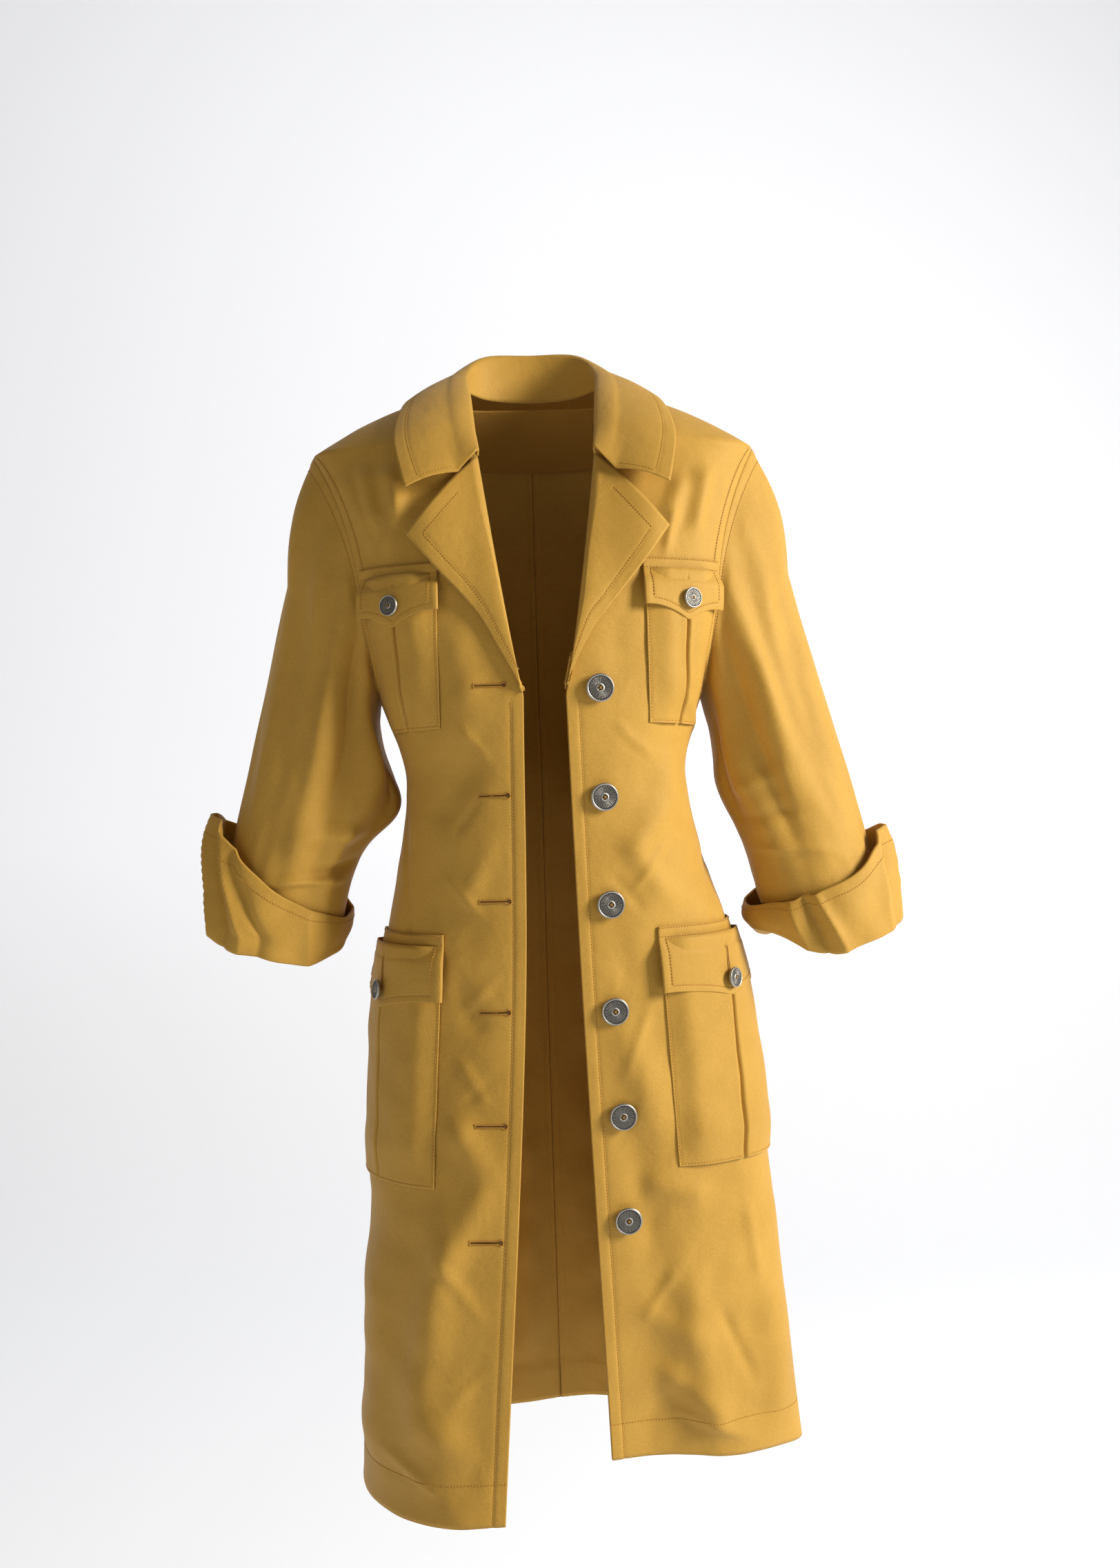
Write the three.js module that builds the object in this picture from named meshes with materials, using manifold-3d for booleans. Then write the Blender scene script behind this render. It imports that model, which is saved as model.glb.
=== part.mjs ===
// A woman's safari coat in mustard cotton twill, open in front, as it hangs from a pair of shoulders.
// Millimetres, +Z up. The wearer faces -Y and the wearer's left arm is at +X.
// The origin lies on the shoulder line, midway between the two sides of the neck.

import * as THREE from 'three';
import { mergeVertices } from 'three/addons/utils/BufferGeometryUtils.js';
import Module from 'manifold-3d';

const wasm = await Module();
wasm.setup();

// ---- Driving dimensions -------------------------------------------------------------------------

const clothThickness = 1.6;     // one layer of the coat with its seam allowances
const layerGap = 0.4;           // clearance between layers that touch
const foldGap = 1.8;            // clearance between curved layers that lie on each other

// Heights of the body's stations
const neckHeight = 16;          // where the shoulder line meets the neck
const shoulderHeight = -48;     // armhole seam at the tip of the shoulder
const chestHeight = -200;
const underarmHeight = -297;
const waistHeight = -385;
const hipHeight = -600;
const hemHeight = -1060;

// Half widths at those stations: the buttonhole side (-X), then the button side (+X)
const neckHalf = 74;
const shoulderHalf = 226;
const chestHalf = 200;
const underarmHalf = 166;
const waistHalf = [141, 144];
const hipHalf = [175, 198];
const hemHalf = [204, 246];

// How far the front and the back stand from the shoulder line, the same two sides
const neckFrontDepth = 14;
const shoulderFrontDepth = 78;
const chestFrontDepth = 130;
const underarmFrontDepth = 137;
const waistFrontDepth = [132, 127];
const hipFrontDepth = [136, 110];
const hemFrontDepth = [196, 70];
const neckBackDepth = 48;
const shoulderBackDepth = 88;
const chestBackDepth = 106;
const underarmBackDepth = 98;
const waistBackDepth = 74;
const hipBackDepth = 106;
const hemBackDepth = 86;

const shoulderLineY = 8;        // the side seam runs down from this line
const roundness = 0.8;          // 1 is an ellipse, less is squarer
const armholeAngle = 33 * Math.PI / 180;

// Front edges, lapels and collar
const breakHeight = -305;       // where the lapel starts to fold back
const rollTopHalf = 57;         // roll line at the gorge
const rollTopHeight = -70;
const breakHalf = 20;
const edgeAtHip = [27, 28];
const edgeAtHem = [60, 45];
const lapelWidth = 66;          // from roll line to lapel point
const lapelPointHeight = -149;
const notchHeight = -88;
const notchDepth = 20;          // from roll line to notch
const collarPointHalf = 128;
const collarPointHeight = -102;
const standTopHeight = 74;      // fold of the collar at the back of the neck
const collarBackFall = 82;      // from the fold to the outer edge at the back
const facingWidth = 72;
const facingThickness = 1;
const lapelThickness = 2.2;
const lapelLift = 3.2;          // of the lapel's face off the front, at the roll line
const lapelSpring = 8.2;        // how much further its outer edge stands off
const collarBulge = 5;
const collarThickness = 2.4;
const standThickness = 1.6;
const neckFacingDepth = 60;

// Buttons
const buttonRadius = 13.5;
const buttonThickness = 3.6;
const buttonPitch = 103;
const firstButtonHeight = -301;
const buttonCount = 6;
const buttonInset = 30;         // from the front edge to the button's middle
const pocketButtonRadius = 10;
const shankRadius = 1.6;
const shankLength = 2.2;

// Pockets: the inner edge's distance from the middle, the top, the width round the body, the depth
const chestPocket = {
  innerHalf: 99, top: -186, width: 84, depth: 148, room: 7, flapDrop: 36, pointDrop: 14,
};
const hipPocket = {
  innerHalf: 104, top: -541, width: 145, depth: 226, room: 8, flapDrop: 52, pointDrop: 11,
};
const hipPocketSlant = 0.06;    // the pocket's inner edge leaves the middle as it goes down
const pocketWall = 1.2;
const flapThickness = 1.4;
const bandHeight = 10;          // strip above the flap that is stitched down
const slitWidth = 5;
const flapPointShare = 0.24;    // half the point's width, as a share of the flap's
const buttonAboveEdge = 6;      // pocket button's middle above the flap's edge

// Sleeves and rolled cuffs
const armTilt = 14 * Math.PI / 180;
const wristHalf = [268, 279];   // middle of the sleeve's end
const wristHeight = -500;
const wristY = -6;
const wristWidthRadius = 62;
const wristDepthRadius = 52;
const capRadius = 152;          // the cap ends and the swinging sleeve begins this far from the joint
const jointHalf = 195;
const cuffLength = 96;          // along the arm
const cuffDrop = 24;            // how far the roll hangs below the sleeve's fold
const cuffRoll = 12;            // thickness of the rolled layers
const sleeveWidthFlare = 0.19;  // the sleeve's radius grows by this for each millimetre up the arm
const sleeveDepthFlare = 0.14;
const sleevePuff = 10;          // fullness of the sleeve's head

// Shoulder pads
const padHalf = shoulderHalf * 0.717;
const padHeight = -52;
const padSize = [shoulderHalf * 0.221, 44, 8];
const padTilt = 0.26;

const colours = {
  twill: 0xc9982f, twillInside: 0xa8781f, pad: 0xd9c9a6, metal: 0x8b8880, thread: 0xb98a2a,
};

// ---- Helpers ------------------------------------------------------------------------------------

const group = new THREE.Group();

// Smooth value of a station list [[height, value], ...] that runs downwards
function along(stations, z) {
  const last = stations.length - 1;
  if (z >= stations[0][0]) return stations[0][1];
  if (z <= stations[last][0]) return stations[last][1];
  const i = stations.findIndex((station, k) => k < last && z <= station[0] && z >= stations[k + 1][0]);
  const slope = (k) => {
    const a = stations[Math.max(k - 1, 0)];
    const b = stations[Math.min(k + 1, last)];
    return (b[1] - a[1]) / (b[0] - a[0]);
  };
  const [z0, v0] = stations[i];
  const [z1, v1] = stations[i + 1];
  const h = z1 - z0;
  const t = (z - z0) / h;
  return (2 * t ** 3 - 3 * t ** 2 + 1) * v0 + (t ** 3 - 2 * t ** 2 + t) * h * slope(i)
    + (3 * t ** 2 - 2 * t ** 3) * v1 + (t ** 3 - t ** 2) * h * slope(i + 1);
}

const sideIndex = (side) => (side < 0 ? 0 : 1);
const stationHeights = [
  neckHeight, shoulderHeight, chestHeight, underarmHeight, waistHeight, hipHeight, hemHeight,
];
const shoulderSlope = 0.62;     // below 1, the shoulder line runs flat and rounds over at its tip
const stationsOf = (values) => stationHeights.map((z, i) => [z, values[i]]);

function halfWidth(side, z) {
  const k = sideIndex(side);
  // the shoulder line slopes gently at first and rounds over at the tip
  if (z > shoulderHeight) {
    const drop = Math.max(neckHeight - z, 0) / (neckHeight - shoulderHeight);
    return neckHalf + (shoulderHalf - neckHalf) * drop ** shoulderSlope;
  }
  const halves = [neckHalf, shoulderHalf, chestHalf, underarmHalf, waistHalf[k], hipHalf[k], hemHalf[k]];
  return along(stationsOf(halves).slice(1), z);
}

function depth(side, face, z) {
  const k = sideIndex(side);
  const front = [neckFrontDepth, shoulderFrontDepth, chestFrontDepth, underarmFrontDepth,
    waistFrontDepth[k], hipFrontDepth[k], hemFrontDepth[k]];
  const back = [neckBackDepth, shoulderBackDepth, chestBackDepth, underarmBackDepth,
    waistBackDepth, hipBackDepth, hemBackDepth];
  return along(stationsOf(face < 0 ? front : back), z);
}

// A point of the body: face -1 is the front and 1 the back, angle 0 the side seam and 90 degrees the middle
function skin(side, face, angle, z) {
  const x = halfWidth(side, z) * Math.cos(angle) ** roundness;
  const y = shoulderLineY + face * depth(side, face, z) * Math.sin(angle) ** roundness;
  return new THREE.Vector3(side * x, y, z);
}

// The same point moved out along the body's normal
function bodyPoint(side, face, angle, z, out = 0) {
  const point = skin(side, face, angle, z);
  const step = 0.01;
  const low = Math.max(angle - step, 0.002);
  const round = skin(side, face, Math.min(angle + step, Math.PI / 2), z).sub(skin(side, face, low, z));
  const down = skin(side, face, angle, Math.max(z - 2, hemHeight)).sub(skin(side, face, angle, z + 2));
  const normal = round.cross(down).normalize();
  if (normal.dot(new THREE.Vector3(point.x, (point.y - shoulderLineY) * 2, 12)) < 0) normal.negate();
  return point.addScaledVector(normal, out);
}

const angleAtHalf = (side, x, z) => Math.acos(Math.min(x / halfWidth(side, z), 1) ** (1 / roundness));

// The angle found by walking a length round the front from the point at the given half width
function angleAfter(side, fromHalf, length, z) {
  let angle = angleAtHalf(side, fromHalf, z);
  let last = skin(side, -1, angle, z);
  let walked = 0;
  while (walked < length && angle > 0.02) {
    angle -= 0.01;
    const next = skin(side, -1, angle, z);
    walked += next.distanceTo(last);
    last = next;
  }
  return angle;
}

function edgeHalf(side, z) {
  const k = sideIndex(side);
  if (z > breakHeight) {
    const t = (z - breakHeight) / (rollTopHeight - breakHeight);
    return breakHalf + (rollTopHalf - breakHalf) * t ** 0.85 + (z > rollTopHeight ? 5 : 0);
  }
  return along([[breakHeight, breakHalf], [hipHeight, edgeAtHip[k]], [hemHeight, edgeAtHem[k]]], z);
}

function armholeLimit(z) {
  if (z > shoulderHeight || z < underarmHeight) return 0;
  const t = (shoulderHeight - z) / (shoulderHeight - underarmHeight);
  return armholeAngle * Math.sin(Math.PI * t) ** 0.45;
}

// A closed shell between two offsets of a surface: at(u, v, offset) with u and v from 0 to 1
function shell(at, columns, rows, outer, inner, ring = false) {
  const across = ring ? columns : columns + 1;
  const positions = [];
  for (const offset of [outer, inner]) {
    for (let j = 0; j <= rows; j++) {
      for (let i = 0; i < across; i++) positions.push(...at(i / columns, j / rows, offset).toArray());
    }
  }
  const layer = across * (rows + 1);
  const id = (i, j, k) => k * layer + j * across + (i % across);
  const faces = [];
  const quad = (a, b, c, d) => faces.push(a, b, c, a, c, d);
  for (let j = 0; j < rows; j++) {
    for (let i = 0; i < columns; i++) {
      quad(id(i, j, 0), id(i + 1, j, 0), id(i + 1, j + 1, 0), id(i, j + 1, 0));
      quad(id(i, j, 1), id(i, j + 1, 1), id(i + 1, j + 1, 1), id(i + 1, j, 1));
    }
  }
  for (let i = 0; i < columns; i++) {
    quad(id(i, 0, 0), id(i, 0, 1), id(i + 1, 0, 1), id(i + 1, 0, 0));
    quad(id(i, rows, 0), id(i + 1, rows, 0), id(i + 1, rows, 1), id(i, rows, 1));
  }
  for (let j = 0; j < rows && !ring; j++) {
    quad(id(0, j, 0), id(0, j + 1, 0), id(0, j + 1, 1), id(0, j, 1));
    quad(id(columns, j, 0), id(columns, j, 1), id(columns, j + 1, 1), id(columns, j + 1, 0));
  }
  return facingOut(positions, faces);
}

// Geometry whose faces point out, whichever way the surface ran
function facingOut(positions, faces) {
  let volume = 0;
  const corner = (k) => new THREE.Vector3(...positions.slice(3 * faces[k], 3 * faces[k] + 3));
  for (let k = 0; k < faces.length; k += 3) {
    volume += corner(k).dot(corner(k + 1).cross(corner(k + 2)));
  }
  if (volume < 0) faces.reverse();
  const geometry = new THREE.BufferGeometry();
  geometry.setAttribute('position', new THREE.Float32BufferAttribute(positions, 3));
  geometry.setIndex(faces);
  return geometry;
}

// A flat block from x0 to x1, z0 to z1 and near to far in Y, its faces cut into a grid
function slab(x0, x1, z0, z1, near, far, columns, rows) {
  const at = (u, v, y) => new THREE.Vector3(x0 + (x1 - x0) * u, y, z0 + (z1 - z0) * v);
  return shell(at, columns, rows, far, near);
}

// An outline in X and Z, given a thickness in Y
function prism(points, near, far) {
  const shape = new THREE.Shape(points.map(([x, z]) => new THREE.Vector2(x, z)));
  const geometry = new THREE.ExtrudeGeometry(shape, { depth: far - near, bevelEnabled: false });
  return geometry.rotateX(Math.PI / 2).translate(0, far, 0);
}

function solid(geometry) {
  const bare = geometry.clone();
  bare.deleteAttribute('normal');
  bare.deleteAttribute('uv');
  const merged = mergeVertices(bare, 1e-4);
  const mesh = new wasm.Mesh({
    numProp: 3,
    vertProperties: new Float32Array(merged.attributes.position.array),
    triVerts: new Uint32Array(merged.index.array),
  });
  return new wasm.Manifold(mesh);
}

function geometryOf(manifold) {
  const mesh = manifold.getMesh();
  const geometry = new THREE.BufferGeometry();
  geometry.setAttribute('position', new THREE.Float32BufferAttribute(mesh.vertProperties, 3));
  geometry.setIndex(Array.from(mesh.triVerts));
  return geometry;
}

// The same closed shape with every vertex moved, as cloth laid over the body
function bend(geometry, move) {
  const bare = geometry.clone();
  bare.deleteAttribute('normal');
  bare.deleteAttribute('uv');
  const flat = mergeVertices(bare, 1e-4);
  const place = flat.attributes.position;
  const positions = [];
  for (let k = 0; k < place.count; k++) {
    positions.push(...move(new THREE.Vector3().fromBufferAttribute(place, k)).toArray());
  }
  return facingOut(positions, Array.from(flat.index.array));
}

function add(name, geometry, colour, roughness = 0.9, metalness = 0) {
  const material = new THREE.MeshStandardMaterial({ color: colour, roughness, metalness });
  const mesh = new THREE.Mesh(geometry, material);
  mesh.name = name;
  group.add(mesh);
  return mesh;
}

const word = (side) => (side < 0 ? 'right' : 'left');   // named for the wearer's own right and left

// ---- Body panels --------------------------------------------------------------------------------

const seamGap = 0.0035;         // angle left free at the side and shoulder seams

// Rows of faces: close together over the shoulder, further apart down the skirt
const shoulderRows = 8.4;
const skirtRowHeight = 66;
const facingRowHeight = 54;
const panelRows = Math.round(shoulderRows + (underarmHeight - hemHeight) / skirtRowHeight);
const facingRows = Math.round((breakHeight - hemHeight) / facingRowHeight);

function panelHeight(v, top) {
  const shoulderShare = shoulderRows / panelRows;
  const crowding = 1.6;
  if (v < shoulderShare) return top + (underarmHeight - top) * (v / shoulderShare) ** crowding;
  return underarmHeight + (hemHeight - underarmHeight) * (v - shoulderShare) / (1 - shoulderShare);
}

for (const side of [-1, 1]) {
  const frontTop = neckHeight - 4;
  const frontAt = (u, v, out) => {
    const z = panelHeight(v, frontTop);
    const outerAngle = Math.max(armholeLimit(z), 0) + seamGap;
    const innerAngle = Math.max(angleAtHalf(side, edgeHalf(side, z), z), outerAngle + 0.06);
    return bodyPoint(side, -1, outerAngle + (innerAngle - outerAngle) * u, z, out);
  };
  add(`front_${word(side)}`, shell(frontAt, 8, panelRows, 0, -clothThickness), colours.twill);

  const backTop = neckHeight - 1;
  const backAt = (u, v, out) => {
    const z = panelHeight(v, backTop);
    const outerAngle = Math.max(armholeLimit(z), 0) + seamGap;
    const innerAngle = Math.PI / 2 - 0.002;
    return bodyPoint(side, 1, outerAngle + (innerAngle - outerAngle) * u, z, out);
  };
  add(`back_${word(side)}`, shell(backAt, 7, panelRows, 0, -clothThickness), colours.twill);

  const facingAt = (u, v, out) => {
    const top = breakHeight - 4;
    const z = top + (hemHeight + 3 - top) * v;
    const innerAngle = angleAtHalf(side, edgeHalf(side, z), z);
    const outerAngle = angleAfter(side, edgeHalf(side, z), facingWidth, z);
    return bodyPoint(side, -1, outerAngle + (innerAngle - outerAngle) * u, z, out);
  };
  const face = -clothThickness - foldGap;
  const facing = shell(facingAt, 3, facingRows, face, face - facingThickness);
  add(`front_facing_${word(side)}`, facing, colours.twillInside);
}

const neckFacingAt = (u, v, out) => {
  const side = u < 0.5 ? -1 : 1;
  const fromMiddle = Math.abs(2 * u - 1);
  const span = 0.9;   // angle from the middle of the back to each end
  const z = neckHeight - 2 - neckFacingDepth * v * (1 - 0.5 * fromMiddle ** 2);
  const angle = Math.PI / 2 - fromMiddle * span;
  return bodyPoint(side, 1, Math.min(angle, Math.PI / 2 - 0.001), z, out);
};
const neckFacingFace = -clothThickness - foldGap;
add('back_neck_facing', shell(neckFacingAt, 10, 4, neckFacingFace, neckFacingFace - facingThickness),
  colours.twillInside);

// ---- Collar and lapels --------------------------------------------------------------------------

// Curves round the neck from the wearer's right gorge, past the back, to the left gorge
function neckCurve(points) {
  const right = points.map(([x, y, z]) => new THREE.Vector3(-x, y, z));
  const left = points.slice(0, -1).reverse().map(([x, y, z]) => new THREE.Vector3(x, y, z));
  return new THREE.CatmullRomCurve3([...right, ...left]);
}

const foldCurve = neckCurve([
  [rollTopHalf, -93, rollTopHeight + 6], [63, -36, 2], [64, 14, 42],
  [46, 45, standTopHeight - 5], [0, 56, standTopHeight],
]);
const seatCurve = neckCurve([
  [rollTopHalf + 1, -90, rollTopHeight + 1], [62, -40, -14], [neckHalf - 4, 8, neckHeight + 4],
  [46, 41, neckHeight + 5], [0, neckBackDepth + shoulderLineY - 1, neckHeight + 5],
]);
const outerCurve = neckCurve([[collarPointHalf, -114, collarPointHeight], [138, -72, -44], [122, 0, 11],
  [86, 76, 6], [0, 102, standTopHeight - collarBackFall]]);

function collarPoint(inner, outer, u, v, bulge) {
  const a = inner.getPoint(u);
  const b = outer.getPoint(u);
  const point = a.clone().lerp(b, v);
  const out = new THREE.Vector3(point.x, point.y - 5, 30).normalize();
  return point.addScaledVector(out, bulge * Math.sin(Math.PI * v));
}

// Move a surface along its own normal, away from the neck
function thicken(surface) {
  return (u, v, out) => {
    const step = 0.01;
    const point = surface(u, v);
    const alongU = surface(Math.min(u + step, 1), v).sub(surface(Math.max(u - step, 0), v));
    const alongV = surface(u, Math.min(v + step, 1)).sub(surface(u, Math.max(v - step, 0)));
    const normal = alongU.cross(alongV).normalize();
    return point.addScaledVector(normal, out);
  };
}

const fallSurface = (u, v) => {
  const reach = Math.abs(2 * u - 1);
  const point = collarPoint(foldCurve, outerCurve, u, v, collarBulge);
  // towards the ends the cut edge bends down to the notch before it reaches the collar point
  const endsFrom = 0.86;
  const notchDip = 5;
  const pull = Math.max(0, (reach - endsFrom) / (1 - endsFrom)) * Math.sin(Math.PI * Math.min(v * 1.4, 1));
  point.z -= pull * notchDip;
  return point;
};
const fall = shell(thicken(fallSurface), 24, 4, collarThickness / 2, -collarThickness / 2);
add('collar_fall', fall, colours.twill);

const standSurface = (u, v) => {
  const inset = 0.012;
  return collarPoint(foldCurve, seatCurve, inset + u * (1 - 2 * inset), 0.1 + 0.86 * v, 0);
};
const standBody = thicken(standSurface);
const underFold = new THREE.Vector3(0, 0, -collarThickness);
add('collar_stand', shell((u, v, out) => standBody(u, v, out).add(underFold), 20, 3,
  standThickness / 2, -standThickness / 2), colours.twillInside);

// Height of the front surface under a point, as a place in Y
const frontY = (side, x, z, out) => {
  const angle = angleAtHalf(side, x, z);
  return bodyPoint(side, -1, angle, z, out).y;
};

for (const side of [-1, 1]) {
  const rollAt = (t) => {
    const z = rollTopHeight - 6 + (breakHeight - rollTopHeight + 6) * t;
    return [edgeHalf(side, z) + 1.5, z];
  };
  const outline = [];
  for (let i = 0; i <= 6; i++) outline.push(rollAt(i / 6));
  const pointHalf = rollTopHalf + lapelWidth;
  outline.push([breakHalf + 14, breakHeight + 38], [breakHalf + 34, breakHeight + 76],
    [rollTopHalf + 42, lapelPointHeight - 31], [pointHalf, lapelPointHeight],
    [rollTopHalf + notchDepth, notchHeight - 3]);
  const sheet = slab(breakHalf - 4, pointHalf + 4, breakHeight - 4, rollTopHeight + 4,
    0, lapelThickness, 9, 14);
  const lift = (x) => lapelLift + lapelSpring * THREE.MathUtils.smoothstep(x, rollTopHalf, pointHalf - 12);
  const place = (p) => {
    const y = frontY(side, p.x, p.z, lift(p.x)) - p.y + lapelThickness / 2;
    return new THREE.Vector3(side * p.x, y, p.z);
  };
  const lapel = solid(bend(sheet, place)).intersect(solid(bend(prism(outline, -30, 30), place)));
  add(`lapel_${word(side)}`, geometryOf(lapel), colours.twill);
}

// ---- Buttons ------------------------------------------------------------------------------------

function buttonGeometry(radius, thickness) {
  const rim = radius * 0.86;
  const dish = thickness * 0.28;
  const profile = [[0, 0], [radius * 0.9, 0], [radius, thickness * 0.45], [radius * 0.95, thickness],
    [rim, thickness], [rim * 0.93, thickness - dish], [0, thickness - dish]];
  const points = profile.map(([r, y]) => new THREE.Vector2(r, y));
  return new THREE.LatheGeometry(points, 18);
}

// A sewn button: the disc and, under it, the wound thread that stands it off the cloth
function sewnButton(name, side, angle, z, radius, cloth) {
  const foot = bodyPoint(side, -1, angle, z, cloth + layerGap);
  const normal = bodyPoint(side, -1, angle, z, cloth + layerGap + 1).sub(foot).normalize();
  const turn = new THREE.Quaternion().setFromUnitVectors(new THREE.Vector3(0, 1, 0), normal);
  const shank = add(`${name}_thread`, new THREE.CylinderGeometry(shankRadius, shankRadius, shankLength, 8),
    colours.thread);
  shank.quaternion.copy(turn);
  shank.position.copy(foot).addScaledVector(normal, shankLength / 2);
  const button = add(name, buttonGeometry(radius, buttonThickness), colours.metal, 0.35, 1);
  button.quaternion.copy(turn);
  button.position.copy(foot).addScaledVector(normal, shankLength + layerGap);
}

for (let i = 0; i < buttonCount; i++) {
  const z = firstButtonHeight - buttonPitch * i;
  const angle = angleAfter(1, edgeHalf(1, z), buttonInset, z);
  sewnButton(`button_${i + 1}`, 1, angle, z, buttonRadius, 0);
}

// ---- Pockets, flaps and their buttons -----------------------------------------------------------

// A point of a pocket: across from its inner edge, down from its top, out from the coat
function pocketPoint(side, pocket, across, down, out) {
  const z = pocket.top - down;
  const slant = pocket === hipPocket ? hipPocketSlant * down : 0;
  const angle = angleAfter(side, pocket.innerHalf + slant, Math.max(across, 0), z);
  const point = bodyPoint(side, -1, angle, z, out);
  const start = bodyPoint(side, -1, angleAfter(side, pocket.innerHalf + slant, 0, z), z, out);
  return across < 0 ? start.add(new THREE.Vector3(side * across, 0, 0)) : point;
}

function pocketPieces(side, pocket, label) {
  const { width, depth: bagDepth, room, flapDrop, pointDrop } = pocket;
  const onCoat = (p) => pocketPoint(side, pocket, p.x, -p.z, p.y);
  const columns = Math.round(width / 16);
  const rows = Math.round(bagDepth / 26);

  const outside = slab(0, width, -bagDepth, -layerGap, foldGap, room + pocketWall, columns, rows);
  const inside = slab(pocketWall, width - pocketWall, -bagDepth + pocketWall, 5, -3, room, columns, rows);
  const bag = solid(bend(outside, onCoat)).subtract(solid(bend(inside, onCoat)));
  add(`${label}_pocket_${word(side)}`, geometryOf(bag), colours.twill);

  const flapNear = room + pocketWall + foldGap;
  const flapFar = flapNear + flapThickness;
  const middle = width / 2;
  const outline = [[-1, -foldGap / 2], [width + 1, -foldGap / 2], [width + 1, -flapDrop + 2],
    [middle + width * flapPointShare, -flapDrop], [middle + width * 0.1, -flapDrop - pointDrop * 0.4],
    [middle, -flapDrop - pointDrop], [middle - width * 0.1, -flapDrop - pointDrop * 0.4],
    [middle - width * flapPointShare, -flapDrop], [-1, -flapDrop + 2]];
  const blank = slab(-3, width + 3, -flapDrop - pointDrop - 3, 3, flapNear, flapFar, columns, 3);
  const slitTop = -flapDrop * 0.3;
  const slitLow = -flapDrop + 1;
  const slit = prism([[middle - slitWidth / 2, slitLow], [middle + slitWidth / 2, slitLow],
    [middle + slitWidth / 2, slitTop], [middle - slitWidth / 2, slitTop]], flapNear - 4, flapFar + 4);
  const cutter = prism(outline, flapNear - 25, flapFar + 25);
  const whole = solid(bend(blank, onCoat)).intersect(solid(bend(cutter, onCoat)));
  const flap = whole.subtract(solid(bend(slit, onCoat)));
  add(`${label}_flap_${word(side)}`, geometryOf(flap), colours.twill);

  const band = slab(-1, width + 1, layerGap, bandHeight, foldGap, room * 0.6, columns, 1);
  add(`${label}_flap_band_${word(side)}`, bend(band, onCoat), colours.twill);

  const buttonDown = flapDrop - buttonAboveEdge;
  const z = pocket.top - buttonDown;
  const slant = pocket === hipPocket ? hipPocketSlant * buttonDown : 0;
  const angle = angleAfter(side, pocket.innerHalf + slant, middle, z);
  sewnButton(`${label}_pocket_button_${word(side)}`, side, angle, z, pocketButtonRadius, room + pocketWall);
}

for (const side of [-1, 1]) {
  pocketPieces(side, chestPocket, 'chest');
  pocketPieces(side, hipPocket, 'hip');
}

// ---- Sleeves, rolled cuffs and shoulder pads ----------------------------------------------------

const armholeMiddle = (shoulderHeight + underarmHeight) / 2;
const armholeRadius = (shoulderHeight - underarmHeight) / 2;

function armholePoint(side, turn) {
  const z = armholeMiddle + armholeRadius * Math.cos(turn);
  const face = Math.sin(turn) >= 0 ? -1 : 1;
  return bodyPoint(side, face, armholeLimit(z), z, 0);
}

function armFrame(side) {
  const outward = new THREE.Vector3(side * Math.cos(armTilt), 0, Math.sin(armTilt));
  const down = new THREE.Vector3(side * Math.sin(armTilt), 0, -Math.cos(armTilt));
  const wrist = new THREE.Vector3(side * wristHalf[sideIndex(side)], wristY, wristHeight);
  return { outward, down, wrist };
}

// A point of an oval ring round the arm, a distance down from the sleeve's end
function armRing(side, turn, down, widthRadius, depthRadius) {
  const frame = armFrame(side);
  return frame.wrist.clone()
    .addScaledVector(frame.outward, widthRadius * Math.cos(turn))
    .addScaledVector(frame.down, down)
    .add(new THREE.Vector3(0, -depthRadius * Math.sin(turn), 0));
}

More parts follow.
